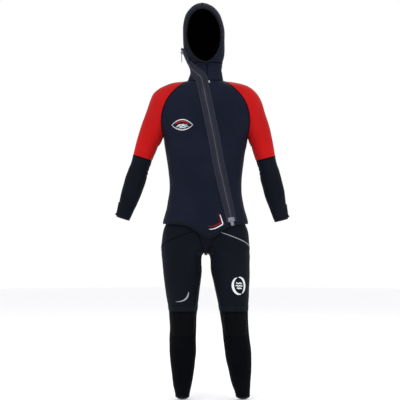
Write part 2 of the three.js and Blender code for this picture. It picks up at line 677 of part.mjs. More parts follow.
function makeWristZip(side) {
  const ends = WRIST_ZIP.map((rib) => sleevePoint(rib, 0, side)[0]);
  const along = ends[1].clone().sub(ends[0]);
  const length = along.length();
  const down = along.normalize();
  const across = V(0, 1, 0);
  const out = across.clone().cross(down).multiplyScalar(-SIDES[side]).normalize();
  const group = new THREE.Group();
  const x = down.clone().cross(out);
  group.quaternion.setFromRotationMatrix(new THREE.Matrix4().makeBasis(x, down, out));
  group.position.copy(ends[0]).addScaledVector(down, length / 2).addScaledVector(out, WRIST_LIFT);
  suit.add(group);
  const ridge = WRIST_RIDGE;
  const top = WRIST_RIDGE_HEIGHT;
  const strip = [[-WRIST_TAPE, 0], [WRIST_TAPE, 0], [WRIST_TAPE, TAPE_THICK], [ridge, TAPE_THICK], [ridge, top],
    [-ridge, top], [-ridge, TAPE_THICK], [-WRIST_TAPE, TAPE_THICK]];
  add(`wrist_zip_${side}`, bar(strip, length), "tape", group);
  const inner = ridge + SLIDER_CLEAR;
  const outer = inner + 1.5;
  const foot = TAPE_THICK + SLIDER_CLEAR;
  const ceiling = top + SLIDER_CLEAR;
  const roof = ceiling + 1.6;
  const cap = [[inner, foot], [outer, foot], [outer, roof], [-outer, roof], [-outer, foot], [-inner, foot],
    [-inner, ceiling], [inner, ceiling]];
  const slider = bar(cap, WRIST_SLIDER).translate(0, length / 2 - WRIST_SLIDER / 2 - 1, 0);
  add(`wrist_slider_${side}`, slider, "metal", group);
}

// ---- Trousers ------------------------------------------------------------------------------------
const leg = profile(LEG);
const legMiddle = (z, side) => (z > CROTCH_Z ? leg(z)[1] : LEG_X + LEG_SPLAY[side] * (CROTCH_Z - z));

// Trouser surface on one side: turn 0 is the inseam or centre front, 1 the middle of the leg in
// front, 2 the outseam, 3 the middle of the leg behind, 4 the inseam or centre back.
function legPoint(turn, z, side) {
  const [outer, reachIn, frontDepth, backDepth] = leg(z);
  const inner = Math.min(reachIn, LEG_X);
  const middle = legMiddle(z, side);
  const closing = THREE.MathUtils.clamp((CROTCH_Z + RISE - z) / RISE, 0, 1);
  const facing = turn < 2 ? -1 : 1;
  const depth = turn < 2 ? frontDepth : backDepth;
  const fromMiddle = (turn < 2 ? turn - 1 : 3 - turn) * (Math.PI / 2);
  const sine = Math.sin(fromMiddle);
  const reach = sine > 0 ? outer * sine : inner * sine;
  const squeeze = sine > 0 ? sine : closing * sine;
  const x = SIDES[side] * (middle + reach);
  const y = facing * depth * Math.sqrt(Math.max(0, 1 - squeeze * squeeze));
  return [V(x, y, z), V(SIDES[side] * middle - x, -y, 0)];
}

const around = steps(0, 4, 20);
const ringAround = around.slice(0, -1);

// The ankle hem is lower in front than behind.
const anklePoint = (side) => (turn, z) => {
  const [p, inwards] = legPoint(turn, z, side);
  const depth = leg(z)[2];
  p.z += ANKLE_DIP * ease(1 - z / 60) * (0.5 + (0.5 * p.y) / depth);
  return [p, inwards];
};

function makeTrouserSide(side) {
  const surface = (turn, z) => legPoint(turn, z, side);
  const ring = { ring: true };
  const hipRows = [HIP_PANEL_Z, 676, 700, 725, 750, 777, 810, 850, 890, WAIST_Z - WAISTBAND];
  add(`hip_panel_${side}`, shell(around, hipRows, NEOPRENE, surface), "shellDark");
  const groinRows = [GROIN_Z, 590, 615, 632, 639, CROTCH_Z, 649, 655, HIP_PANEL_Z];
  add(`groin_${side}`, shell(around, groinRows, NEOPRENE, surface), "shellDark");
  add(`thigh_${side}`, shell(ringAround, steps(THIGH_END_Z, GROIN_Z, 4), NEOPRENE, surface, ring), "shellDark");
  add(`knee_${side}`, shell(ringAround, steps(KNEE_END_Z, THIGH_END_Z, 4), NEOPRENE, surface, ring), "pad");
  const hemTop = ANKLE_HEM;
  const shin = shell(ringAround, [hemTop, 40, 90, 150, 205, KNEE_END_Z], NEOPRENE, anklePoint(side), ring);
  add(`shin_${side}`, shin, "pad");
  add(`ankle_hem_${side}`, shell(ringAround, [0, hemTop], NEOPRENE, anklePoint(side), ring), "pad");

  const bandRows = [THIGH_END_Z + 1, THIGH_END_Z + KNEE_BAND];
  const band = shell(ringAround, bandRows, BAND_THICK, lifted(surface, BAND_THICK, 1.2), ring);
  add(`knee_band_${side}`, band, "shellDark");
  const padTurns = steps(0.35, 1.65, 8);
  const padRows = steps(KNEE_END_Z + 18, THIGH_END_Z - 8, 5);
  add(`knee_pad_${side}`, shell(padTurns, padRows, PAD_THICK, lifted(surface, PAD_THICK, 1.2)), "pad");

  const piping = (across, t) => {
    const turn = lerp(0.86, 1.98, t);
    const z = lerp(738, 664, t) + across;
    return legPoint(turn, z, side);
  };
  const pipe = shell([-2, 2], steps(0, 1, 8), MARK_THICK, lifted(piping, MARK_THICK, 1));
  add(`hip_piping_${side}`, pipe, side === "left" ? "trim" : "shellDark");
}

function makeWaistband() {
  const ring = (k, z) => legPoint(k < 16 ? (k + 0.5) / 4 : (31.5 - k) / 4, z, k < 16 ? "left" : "right");
  const turns = Array.from({ length: 32 }, (_, k) => k);
  add("waistband", shell(turns, [WAIST_Z - WAISTBAND, WAIST_Z], NEOPRENE, ring, { ring: true }), "shellDark");
}

// ---- Beaver tail ---------------------------------------------------------------------------------
// A strap from the front hem, under the crotch, to the back hem. Its path is an arch of points
// (y, z, half width) clear of the trousers.
function makeBeaverTail() {
  const path = [];
  const topZ = hemHeight(0.08) - HEM_BAND - SEAM_GAP;
  const backZ = JACKET_HEM_Z - HEM_BAND - SEAM_GAP;
  path.push([-(trunk(topZ)[1] - NEOPRENE), topZ, TAIL_HALF_TOP]);
  for (const [facing, heights] of [[-1, [690, 674, 662, 652, 645]], [1, [645, 652, 664, 684, 710, 735]]]) {
    for (const z of heights) {
      const share = ease((z - CROTCH_Z) / (topZ - CROTCH_Z));
      const halfWidth = lerp(TAIL_HALF_CROTCH, TAIL_HALF_TOP, share);
      const [, middle, frontDepth, backDepth] = leg(z);
      const closing = THREE.MathUtils.clamp((CROTCH_Z + RISE - z) / RISE, 0, 1);
      const squeeze = closing * (1 - (halfWidth + 5) / middle);
      const depth = facing < 0 ? frontDepth : backDepth;
      path.push([facing * (depth * Math.sqrt(1 - squeeze * squeeze) + TAIL_LIFT), z, halfWidth]);
    }
    if (facing < 0) {
      path.push([-22, 636.5, TAIL_HALF_CROTCH], [0, 635, TAIL_HALF_CROTCH], [22, 636.5, TAIL_HALF_CROTCH]);
    }
  }
  path.push([trunk(backZ)[2] - NEOPRENE, backZ, TAIL_HALF_TOP]);
  const strap = (across, k) => {
    const [y, z, halfWidth] = path[k];
    const before = path[Math.max(0, k - 1)];
    const after = path[Math.min(path.length - 1, k + 1)];
    const inwards = V(0, -(after[1] - before[1]), after[0] - before[0]).normalize();
    const p = V(across * halfWidth + 2, y, z).addScaledVector(inwards, -TAIL_THICK);
    return [p, inwards];
  };
  const ks = path.map((_, k) => k);
  add("beaver_tail", shell([-1, 0, 1], ks, TAIL_THICK, strap, { gap: 0 }), "shell");
  // Closing pad between the end of the tail and the front of the jacket.
  const pad = (across, v) => {
    const s = 0.08 + across * 0.13;
    const [p, inwards] = front(s, 0);
    p.z += 3 + 18 * v;
    return [p.addScaledVector(inwards.normalize(), -(REST_GAP + 2.6)), inwards];
  };
  add("tail_pad", shell([-1, 0, 1], [0, 0.5, 1], 2, pad, { gap: 0 }), "shellDark");
}

// ---- Marks: plain generic shapes ----------------------------------------------------------------
// Maps a square grid onto an ellipse, then onto a surface.
function ovalMark(name, surface, centre, halfSizes, finish) {
  const place = (u, v) => {
    const x = u * Math.sqrt(1 - (v * v) / 2);
    const y = v * Math.sqrt(1 - (u * u) / 2);
    return surface(centre[0] + halfSizes[0] * x, centre[1] + halfSizes[1] * y);
  };
  const grid = steps(-1, 1, 6);
  add(name, shell(grid, grid, MARK_THICK, lifted(place, MARK_THICK, 0.8), { gap: 0 }), finish);
}

function makeMarks() {
  ovalMark("chest_mark", front, [-0.57, 1.13], [0.26, 0.13], "print");
  const thigh = (turn, z) => legPoint(turn, z, "left");
  ovalMark("thigh_mark", thigh, [1.28, 500], [0.26, 42], "print");
  const knee = (across, t) => legPoint(lerp(0.78, 1.3, t * t), lerp(474, 430, t) + across, "right");
  add("knee_mark", shell([-2.5, 2.5], steps(0, 1, 6), MARK_THICK, lifted(knee, MARK_THICK, 0.8)), "trim");
  const chevron = (across, t) => {
    const s = t < 0.5 ? lerp(0.35, 0.4, t * 2) : lerp(0.4, 0.08, (t - 0.5) * 2);
    const level = t < 0.5 ? lerp(0.17, 0.055, t * 2) : lerp(0.055, 0.075, (t - 0.5) * 2);
    return front(s + across * 0.012, level + across * 0.006);
  };
  const rows = [0, 0.25, 0.5, 0.75, 1];
  add("hem_chevron", shell([-1, 1], rows, MARK_THICK, lifted(chevron, MARK_THICK, 0.8)), "print");
  const tab = (u, v) => {
    const level = lerp(1.83, 1.93, v);
    return front(zipPlace(level) + (ZIP_TAPE + TAB_FROM_TAPE + TAB_WIDTH * u) / bodyEdge(level).x, level);
  };
  add("neck_tab", shell([0, 1], [0, 1], 1.5, lifted(tab, 1.5, 0.8)), "trim");
}

makeJacketBody();
for (const side of Object.keys(SIDES)) {
  makeSleeve(side);
  makeWristZip(side);
  makeTrouserSide(side);
}
makeHood();
makeMainZip();
makeWaistband();
makeBeaverTail();
makeMarks();

export default suit;
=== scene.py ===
"""A two-piece hooded diving suit, filled out as if worn.

The jacket has a hood, a diagonal front zip, red raglan sleeves with black forearms and a beaver
tail; the trousers are high-waisted, with a band and a pad at each knee. Tables and sizes are in
millimetres, heights measured from the ankle hems. Every mesh is in metres in the frame's axes: +X is
the wearer's left, -Y the front, +Z up, and the origin is the middle of the neck seam.
"""
import logging
import math
from dataclasses import dataclass
from enum import Enum
from typing import Callable

import bmesh
import bpy
import numpy as np
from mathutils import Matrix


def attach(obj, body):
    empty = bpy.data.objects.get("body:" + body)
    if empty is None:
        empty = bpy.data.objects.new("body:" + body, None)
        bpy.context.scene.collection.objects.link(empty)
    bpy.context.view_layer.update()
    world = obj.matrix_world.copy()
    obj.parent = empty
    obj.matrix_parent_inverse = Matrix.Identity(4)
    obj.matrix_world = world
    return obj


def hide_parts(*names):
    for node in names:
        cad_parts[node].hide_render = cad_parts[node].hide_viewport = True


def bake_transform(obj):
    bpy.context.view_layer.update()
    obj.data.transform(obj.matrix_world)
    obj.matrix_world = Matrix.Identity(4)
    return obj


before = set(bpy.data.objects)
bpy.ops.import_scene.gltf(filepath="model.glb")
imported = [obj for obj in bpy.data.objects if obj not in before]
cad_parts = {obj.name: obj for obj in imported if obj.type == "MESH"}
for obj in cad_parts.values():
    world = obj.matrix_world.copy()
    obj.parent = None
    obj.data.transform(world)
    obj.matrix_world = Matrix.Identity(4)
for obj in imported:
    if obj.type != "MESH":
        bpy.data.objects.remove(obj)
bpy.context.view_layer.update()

log = logging.getLogger("diving_suit")

Array = np.ndarray
Surface = Callable[[Array, Array], tuple[Array, Array]]
Shape = tuple[Array, list[Array]]  # points, and groups of faces
Row = tuple[float, ...]

MM = 0.001
NECK_SEAM_Z = 1396.0
NECK_SIDE_X = 79.0
ARMPIT_Z = 1150.0
ARMPIT_X = 184.0
JACKET_HEM_Z = 775.0
CROTCH_Z = 645.0
WAIST_Z = 930.0
WALL = 5.0  # neoprene


class Side(Enum):
    """The wearer's two sides, with the sign of their X."""

    RIGHT = -1
    LEFT = 1

    @property
    def label(self) -> str:
        """The side's name as it stands in piece and body names."""
        return self.name.lower()


class Facing(Enum):
    """The front and back of the body, with the sign of their Y."""

    FRONT = -1
    BACK = 1


# ---- Numbers, points and curves ------------------------------------------------------------------
def vec(x: Array, y: Array, z: Array) -> Array:
    """Coordinates, broadcast against each other, as an array of points."""
    return np.stack(np.broadcast_arrays(x, y, z), axis=-1).astype(float)


def dot(a: Array, b: Array) -> Array:
    """Dot product of matching vectors, kept as a last axis of one."""
    return (a * b).sum(axis=-1, keepdims=True)


def unit(vectors: Array) -> Array:
    """Vectors scaled to a length of one."""
    return vectors / np.maximum(np.linalg.norm(vectors, axis=-1, keepdims=True), 1e-9)


def lerp(start: Array, end: Array, share: Array) -> Array:
    """The value a share of the way from start to end."""
    return start + (end - start) * share


def ease(share: Array) -> Array:
    """Smooth step from 0 to 1: three times the square less twice the cube."""
    t = np.clip(share, 0.0, 1.0)
    return t * t * (3.0 - 2.0 * t)


def bisected(rising: Callable[[Array], Array], target: Array, low: float, high: float) -> Array:
    """Where a rising function reaches its targets, by halving.

    Args:
        rising: the function, on whole arrays.
        target: wanted values.
        low: lower end of the search.
        high: upper end of the search.

    Returns:
        The places, shaped like target.
    """
    below, above = np.full_like(target, low), np.full_like(target, high)
    for _ in range(30):
        middle = (below + above) / 2.0
        short = rising(middle) < target
        below, above = np.where(short, middle, below), np.where(short, above, middle)
    return (below + above) / 2.0


def spread(count: int, near: tuple[float, ...] = (0.006, 0.013, 0.022)) -> Array:
    """Even steps from 0 to 1 with a few finer ones at both ends, where a panel is pinched."""
    edges = np.array(near)
    return np.unique(np.concatenate([np.linspace(0.0, 1.0, count + 1), edges, 1.0 - edges]))


def travelled(path: Array) -> Array:
    """Length along a path of points, from 0 at its first point."""
    return np.concatenate([[0.0], np.cumsum(np.linalg.norm(np.diff(path, axis=0), axis=1))])


def at_lengths(values: Array, lengths: Array, wanted: Array) -> Array:
    """Rows of values interpolated at wanted lengths along their path."""
    return np.stack([np.interp(wanted, lengths, column) for column in values.T], axis=-1)


class RowCurve:
    """A smooth curve through the rows of a table, whose first column is the key.

    Between two rows each value is the cubic that has both rows' values and slopes. A row's slope is
    that of the line from the row before it to the row after it.
    """

    def __init__(self, rows: list[Row]) -> None:
        """Reads the table and works out each row's slopes."""
        table = np.asarray(rows, float)
        self.keys, self.values = table[:, 0], table[:, 1:]
        count = len(table)
        before = np.maximum(np.arange(count) - 1, 0)
        after = np.minimum(np.arange(count) + 1, count - 1)
        run = (self.keys[after] - self.keys[before])[:, None]
        self.slopes = (self.values[after] - self.values[before]) / run

    def __call__(self, wanted: Array) -> Array:
        """The values at the wanted keys, on a new last axis."""
        key = np.clip(wanted, self.keys[0], self.keys[-1])
        i = np.clip(np.searchsorted(self.keys, key, side="right") - 1, 0, len(self.keys) - 2)
        span = (self.keys[i + 1] - self.keys[i])[..., None]
        t = (key - self.keys[i])[..., None] / span
        start, end = self.slopes[i] * span, self.slopes[i + 1] * span
        rise = self.values[i + 1] - self.values[i]
        bend = (3.0 * rise - 2.0 * start - end) * t**2 + (start + end - 2.0 * rise) * t**3
        return self.values[i] + start * t + bend


# ---- Shapes of the suit --------------------------------------------------------------------------
class ArmShape:
    """One sleeve, from the raglan seam (rib 0) to the wrist (rib 13)."""

    SHOULDER = [  # rib, outer x and z, inner x and z, half depth, bow of the seam
        (0, NECK_SIDE_X, NECK_SEAM_Z, ARMPIT_X, ARMPIT_Z, 80, 50),
        (1, 137, 1389, 186, 1147, 79, 38),
        (2, 190, 1371, 188, 1144, 76, 25),
        (3, 226, 1343, 190, 1140, 71, 13),
        (4, 246, 1306, 192, 1134, 66, 5),
        (5, 264, 1250, 196, 1124, 61, 0),
        (6, 283, 1194, 203, 1112, 57, 0),
    ]
    ARM = [  # rib, distance down the arm, half width, half depth
        (7, 0, 48, 52),
        (8, 63, 43, 47),
        (9, 112, 42, 44),
        (10, 162, 45, 46),
        (11, 235, 42, 41),
        (12, 308, 33, 32),
        (13, 344, 30, 29),
    ]
    TOP = (254.0, 1116.0)
    PIVOT = (225.0, 1230.0)
    NOMINAL_LEAN = math.radians(16.0)
    LEAN = {Side.RIGHT: math.radians(18.0), Side.LEFT: math.radians(14.2)}

    def __init__(self, side: Side) -> None:
        """Makes the two curves that give every rib of this side's sleeve."""
        self.side = side
        self.arm = RowCurve(self.ARM)
        lower = [(row[0], *self._ends(*map(np.array, row[1:]))) for row in self.ARM[:2]]
        self.shoulder = RowCurve([*self.SHOULDER, *lower])

    def _ends(self, distance: Array, half_width: Array, depth: Array) -> tuple[Array, ...]:
        """A rib below the shoulder as its outer and inner ends, half depth and no bow."""
        sine, cosine = math.sin(self.NOMINAL_LEAN), math.cos(self.NOMINAL_LEAN)
        x = self.TOP[0] + distance * sine
        z = self.TOP[1] - distance * cosine
        dx, dz = half_width * cosine, half_width * sine
        return x + dx, z + dz, x - dx, z - dz, depth, np.zeros_like(x)

    def rib(self, rib: Array) -> Array:
        """Outer x and z, inner x and z, half depth and bow of ribs, with the arm's own lean."""
        low = np.stack(self._ends(*np.moveaxis(self.arm(rib), -1, 0)), axis=-1)
        row = np.where((rib < 7)[..., None], self.shoulder(rib), low)
        turn = (self.LEAN[self.side] - self.NOMINAL_LEAN) * ease((rib - 3.0) / 4.0)
        cosine, sine = np.cos(turn), np.sin(turn)
        for x, z in ((0, 1), (2, 3)):
            dx, dz = row[..., x] - self.PIVOT[0], row[..., z] - self.PIVOT[1]
            row[..., x] = self.PIVOT[0] + dx * cosine - dz * sine
            row[..., z] = self.PIVOT[1] + dx * sine + dz * cosine
        return row

    def surface(self, angle: Array, rib: Array) -> tuple[Array, Array]:
        """Points of the sleeve and the way to its middle line.

        A rib is half an ellipse in front and half behind: the middle of its ends, plus its half
        line times the cosine of the angle, plus its depth forwards times the sine. The raglan
        seam also bows outwards by the square of the sine.
        """
        angle, rib = np.broadcast_arrays(np.asarray(angle, float), np.asarray(rib, float))
        ox, oz, ix, iz, depth, bow = np.moveaxis(self.rib(rib), -1, 0)
        hx, hz = (ox - ix) / 2.0, (oz - iz) / 2.0
        length = np.hypot(hx, hz)
        bend = bow * np.sin(angle) ** 2
        cx = (ox + ix) / 2.0 + hz / length * bend
        cz = (oz + iz) / 2.0 - hx / length * bend
        sign = self.side.value
        points = vec(
            sign * (cx + hx * np.cos(angle)), -depth * np.sin(angle), cz + hz * np.cos(angle)
        )
        return points, vec(sign * cx, np.zeros_like(cx), cz) - points


class BodyShape:
    """The body of the jacket: side seams from level 0 to 1, raglan seams from 1 to 2."""

    TRUNK = [  # height, half width, front depth, back depth
        (700, 192, 118, 118),
        (777, 186, 118, 121),
        (850, 167, 108, 107),
        (940, 157, 102, 100),
        (1040, 167, 112, 108),
        (ARMPIT_Z, ARMPIT_X, 121, 118),
        (1270, ARMPIT_X, 116, 122),
        (1340, 150, 98, 112),
        (NECK_SEAM_Z, NECK_SIDE_X, 62, 70),
    ]
    HEM_DIP = (60.0, 0.08, 0.36)  # drop of the front hem, its place and its spread across the front
    ZIP_FOOT = (112.0, 782.0)
    ZIP_NECK = (-16.0, NECK_SEAM_Z)

    def __init__(self) -> None:
        """Makes the trunk's curve and the seam that the sleeves share."""
        self.trunk = RowCurve(self.TRUNK)
        self.arm = ArmShape(Side.LEFT)

    def hem_height(self, s: Array) -> Array:
        """Height of the front hem: it drops as a bell curve towards the beaver tail."""
        drop, place, width = self.HEM_DIP
        return JACKET_HEM_Z - drop * np.exp(-(((s - place) / width) ** 2))

    def edge(self, level: Array) -> tuple[Array, ...]:
        """Half width, half depth, height, roundness and power of the body's edge at levels."""
        low = level <= 1.0
        z_low = lerp(JACKET_HEM_Z, ARMPIT_Z, level)
        angle = np.pi * (2.0 - np.clip(level, 1.0, 2.0))
        seam = self.arm.surface(angle, np.zeros_like(angle))[0]
        turn = np.sin(angle)
        x = np.where(low, self.trunk(z_low)[..., 0], seam[..., 0])
        y = np.where(low, 0.0, np.abs(seam[..., 1]))
        z = np.where(low, z_low, seam[..., 2])
        power = np.where(low, 2.4, lerp(2.0, 2.4, 2.0 - level))
        return x, y, z, np.where(low, 0.5, 0.5 + 0.5 * turn), power

    def surface(self, s: Array, level: Array, facing: Facing) -> tuple[Array, Array]:
        """Points of the body and the way to its middle line.

        Across the body from s = -1 to 1 the depth goes from that of the edge to that of the trunk
        with one less a power of s, itself raised to the roundness.
        """
        s, level = np.broadcast_arrays(np.asarray(s, float), np.asarray(level, float))
        edge_x, edge_y, edge_z, roundness, power = self.edge(level)
        hem = self.hem_height(s) if facing is Facing.FRONT else JACKET_HEM_Z
        z = np.where(level <= 1.0, lerp(hem, ARMPIT_Z, level), edge_z)
        half_width, front, back = np.moveaxis(self.trunk(z), -1, 0)
        x = s * np.where(level <= 1.0, half_width, edge_x)
        deepest = front if facing is Facing.FRONT else back
        bulge = np.maximum(0.0, 1.0 - np.abs(s) ** power) ** roundness
        y = facing.value * (edge_y + (deepest - edge_y) * bulge)
        return vec(x, y, z), vec(-x, -y, np.zeros_like(z))

    def front(self, s: Array, level: Array) -> tuple[Array, Array]:
        """The front of the jacket."""
        return self.surface(s, level, Facing.FRONT)

    def back(self, s: Array, level: Array) -> tuple[Array, Array]:
        """The back of the jacket."""
        return self.surface(s, level, Facing.BACK)

    def zip_place(self, level: Array) -> Array:
        """Place of the straight diagonal zip across the front at levels."""
        x, _, z, _, _ = self.edge(level)
        share = (z - self.ZIP_FOOT[1]) / (self.ZIP_NECK[1] - self.ZIP_FOOT[1])
        return lerp(self.ZIP_FOOT[0], self.ZIP_NECK[0], share) / x

    def at(self, x: Array, z: Array) -> tuple[Array, Array]:
        """Place across and level of the front at a given x and height."""

        def height(level: Array) -> Array:
            """Height of the front at a level and the wanted x."""
            return self.front(x / self.edge(level)[0], level)[0][..., 2]

        level = bisected(height, np.asarray(z, float), 0.0, 2.0)
        return x / self.edge(level)[0], level


class HoodShape:
    """Neck and hood: turn 0 is the front middle, positive towards +X; rows go up to the crown."""

    ROWS = [  # row, height, middle x, half width, front depth, back depth
        (0, NECK_SEAM_Z, 0, NECK_SIDE_X, 62, 70),
        (1, 1437, 3, 69, 60, 66),
        (2, 1474, 0, 74, 70, 76),
        (3, 1512, -4, 87, 88, 96),
        (4, 1572, -7, 92, 101, 108),
        (5, 1632, -9, 90, 105, 112),
        (6, 1682, -12, 78, 92, 100),
        (7, 1716, -13, 55, 64, 70),
        (8, 1735, -14, 28, 32, 36),
        (9, 1742, -14, 0.01, 0.01, 0.01),
    ]
    FACE_MIDDLE = (-7.0, 1600.0)
    FACE_HALF_WIDTH = 78.0
    FACE_UP = 112.0
    FACE_DOWN = 124.0

    def __init__(self) -> None:
        """Makes the curve through the table."""
        self.rows = RowCurve(self.ROWS)

    def surface(self, turn: Array, row: Array) -> tuple[Array, Array]:
        """Points and the way inwards: each row is an ellipse with its own front and back depth."""
        turn, row = np.broadcast_arrays(np.asarray(turn, float), np.asarray(row, float))
        z, middle, half_width, front, back = np.moveaxis(self.rows(row), -1, 0)
        depth = np.where(np.cos(turn) > 0.0, front, back)
        points = vec(middle + half_width * np.sin(turn), -depth * np.cos(turn), z)
        heart = vec(middle, np.zeros_like(z), np.minimum(z, self.FACE_MIDDLE[1] + 20.0))
        return points, heart - points

    def row_at(self, height: Array) -> Array:
        """Row of the table at a height."""
        top = len(self.ROWS) - 1.0
        return bisected(lambda row: self.rows(row)[..., 0], np.asarray(height, float), 0.0, top)

    def face_turn(self, row: Array) -> Array:
        """Half angle of the egg-shaped face opening at a row."""
        z, _, half_width = np.moveaxis(self.rows(row)[..., :3], -1, 0)
        tall = np.where(z > self.FACE_MIDDLE[1], self.FACE_UP, self.FACE_DOWN)
        reach = (z - self.FACE_MIDDLE[1]) / tall
        wide = self.FACE_HALF_WIDTH * np.sqrt(np.maximum(0.0, 1.0 - reach**2))
        return np.arcsin(np.minimum(1.0, wide / half_width))

    def face_edge(self, around: Array) -> tuple[Array, Array]:
        """Turn and row of the edge of the face opening, for angles around it from its top."""
        tall = np.where(np.cos(around) > 0.0, self.FACE_UP, self.FACE_DOWN)
        row = self.row_at(self.FACE_MIDDLE[1] + tall * np.cos(around))
        return np.sign(np.sin(around)) * self.face_turn(row), row


class LegShape:
    """One side of the trousers.

    Turn 0 is the inseam or the centre front, 1 the middle of the leg in front, 2 the outseam, 3 the
    middle of the leg behind and 4 the inseam or the centre back.
    """

    ROWS = [  # height, outer half width, inner half width, front depth, back depth
        (-2, 30, 30, 34, 38),
        (29, 33, 33, 36, 42),
        (64, 40, 40, 38, 46),
        (134, 50, 50, 46, 57),
        (200, 57, 57, 52, 66),
        (260, 57, 57, 56, 66),
        (322, 57, 57, 60, 60),
        (386, 62, 61, 66, 64),
        (486, 78, 72, 80, 82),
        (558, 87, 80, 88, 94),
        (632, 95, 80, 94, 108),
        (CROTCH_Z, 95, 97, 95, 110),
        (700, 103, 87, 98, 114),
        (740, 109, 75, 97, 108),
        (777, 108, 61, 92, 99),
        (850, 100, 52, 86, 90),
        (WAIST_Z, 95, 48, 82, 82),
    ]
    MIDDLE_X = 97.0
    SPLAY = {Side.RIGHT: 0.007, Side.LEFT: 0.104}
    RISE = 80.0  # height over which the seat closes round the crotch
    ANKLE_DIP = 20.0  # how much lower the hem is in front than behind

    def __init__(self, side: Side) -> None:
        """Makes the curve through the table."""
        self.side = side
        self.rows = RowCurve(self.ROWS)

    def middle(self, z: Array) -> Array:
        """Distance of the leg's middle line from the body's, at heights."""
        straight = self.MIDDLE_X + self.SPLAY[self.side] * (CROTCH_Z - z)
        return np.where(z > CROTCH_Z, self.rows(z)[..., 1], straight)

    def surface(self, turn: Array, z: Array) -> tuple[Array, Array]:
        """Points and the way inwards.

        Each height is made of four quarter ellipses. Above the crotch the inner ones open out,
        until both sides of the trousers meet along the centre seams.
        """
        turn, z = np.broadcast_arrays(np.asarray(turn, float), np.asarray(z, float))
        outer, reach_in, front, back = np.moveaxis(self.rows(z), -1, 0)
        inner = np.minimum(reach_in, self.MIDDLE_X)
        middle = self.middle(z)
        closing = np.clip((CROTCH_Z + self.RISE - z) / self.RISE, 0.0, 1.0)
        ahead = turn < 2.0
        sine = np.sin(np.where(ahead, turn - 1.0, 3.0 - turn) * (np.pi / 2.0))
        squeeze = np.where(sine > 0.0, sine, closing * sine)
        reach = np.where(sine > 0.0, outer * sine, inner * sine)
        depth = np.where(ahead, -front, back)
        x = self.side.value * (middle + reach)
        y = depth * np.sqrt(np.maximum(0.0, 1.0 - squeeze**2))
        lift = self.ANKLE_DIP * ease(1.0 - z / 60.0) * (0.5 + 0.5 * y / front)
        inwards = vec(self.side.value * middle - x, -y, np.zeros_like(z))
        return vec(x, y, z + lift), inwards


# ---- Relief of worn neoprene ---------------------------------------------------------------------
@dataclass(frozen=True)
class Fold:
    """A soft crease or roll that runs over a surface between two of its places."""

    surface: Surface
    start: tuple[float, float]
    end: tuple[float, float]
    width: float
    height: float


class Relief:
    """Height of the worn suit above its smooth shape, as a function of the place in space."""

    WAVES = (  # wave vector in turns per millimetre, and height in millimetres
        ((0.0071, 0.0034, 0.0052), 0.42),
        ((-0.0049, 0.0083, 0.0097), 0.36),
        ((0.0123, -0.0061, 0.0044), 0.26),
        ((0.0032, 0.0142, -0.0118), 0.2),
        ((0.0187, 0.0091, 0.0153), 0.12),
    )

    def __init__(self, folds: list[Fold]) -> None:
        """Lays points along each fold, a third of its width apart."""
        self.folds = []
        for fold in folds:
            share = np.linspace(0.0, 1.0, 48)
            path = fold.surface(
                lerp(fold.start[0], fold.end[0], share), lerp(fold.start[1], fold.end[1], share)
            )[0]
            lengths = travelled(path)
            count = max(4, int(lengths[-1] / (fold.width * 0.34)))
            wanted = np.linspace(0.0, lengths[-1], count)
            strength = np.sin(np.pi * np.linspace(0.06, 0.94, count)) ** 0.7
            self.folds.append((at_lengths(path, lengths, wanted), strength, fold))

    def height(self, points: Array) -> Array:
        """Height over points: five long sine waves, plus a bell curve across each fold."""
        flat = points.reshape(-1, 3)
        total = np.zeros(len(flat))
        for wave, height in self.WAVES:
            total += height * np.sin(2.0 * np.pi * (flat @ np.array(wave)))
        for path, strength, fold in self.folds:
            reach = 2.4 * fold.width
            near = np.all((flat > path.min(axis=0) - reach) & (flat < path.max(axis=0) + reach), axis=1)
            away = np.linalg.norm(flat[near, None, :] - path[None, :, :], axis=2) / fold.width
            if near.any():
                total[near] += fold.height * (strength * np.exp(-(away**2))).max(axis=1)
        return total.reshape(points.shape[:-1])


@dataclass
class Skin:
    """A surface of the suit with the relief of worn neoprene on it."""

    surface: Surface
    relief: Relief
    step: tuple[float, float]
    u_range: tuple[float, float]
    v_range: tuple[float, float]

    def frame(self, u: Array, v: Array) -> tuple[Array, Array]:
        """Points and outward unit normals.

        The normal is the cross product of the differences along u and v over a small step, and the
        point moves along it by the relief.
        """
        u, v = np.broadcast_arrays(np.asarray(u, float), np.asarray(v, float))
        points, inwards = self.surface(u, v)
        sides = [np.clip(u + sign * self.step[0], *self.u_range) for sign in (1.0, -1.0)]
        ends = [np.clip(v + sign * self.step[1], *self.v_range) for sign in (1.0, -1.0)]
        across = self.surface(sides[0], v)[0] - self.surface(sides[1], v)[0]
        along = self.surface(u, ends[0])[0] - self.surface(u, ends[1])[0]
        normals = np.cross(across, along)
        flat = np.linalg.norm(normals, axis=-1, keepdims=True) < 1e-9
        normals = np.where(flat, -inwards, normals)
        normals = unit(normals * np.where(dot(normals, inwards) > 0.0, -1.0, 1.0))
        return points + normals * self.relief.height(points)[..., None], normals


# ---- Meshes --------------------------------------------------------------------------------------
def lattice(rows: int, columns: int, ring_u: bool, ring_v: bool) -> Array:
    """Quads of a grid of points: a ring joins its last line of points to its first.

    Args:
        rows: points along v.
        columns: points along u.
        ring_u: whether each row closes on itself.
        ring_v: whether each column closes on itself.

    Returns:
        An array of four point numbers for each quad.
    """
    i, j = np.meshgrid(
        np.arange(columns if ring_u else columns - 1), np.arange(rows if ring_v else rows - 1)
    )
    i, j = i.ravel(), j.ravel()
    k, m = (i + 1) % columns, (j + 1) % rows
    return np.stack(
        [j * columns + i, j * columns + k, m * columns + k, m * columns + i], axis=-1
    )


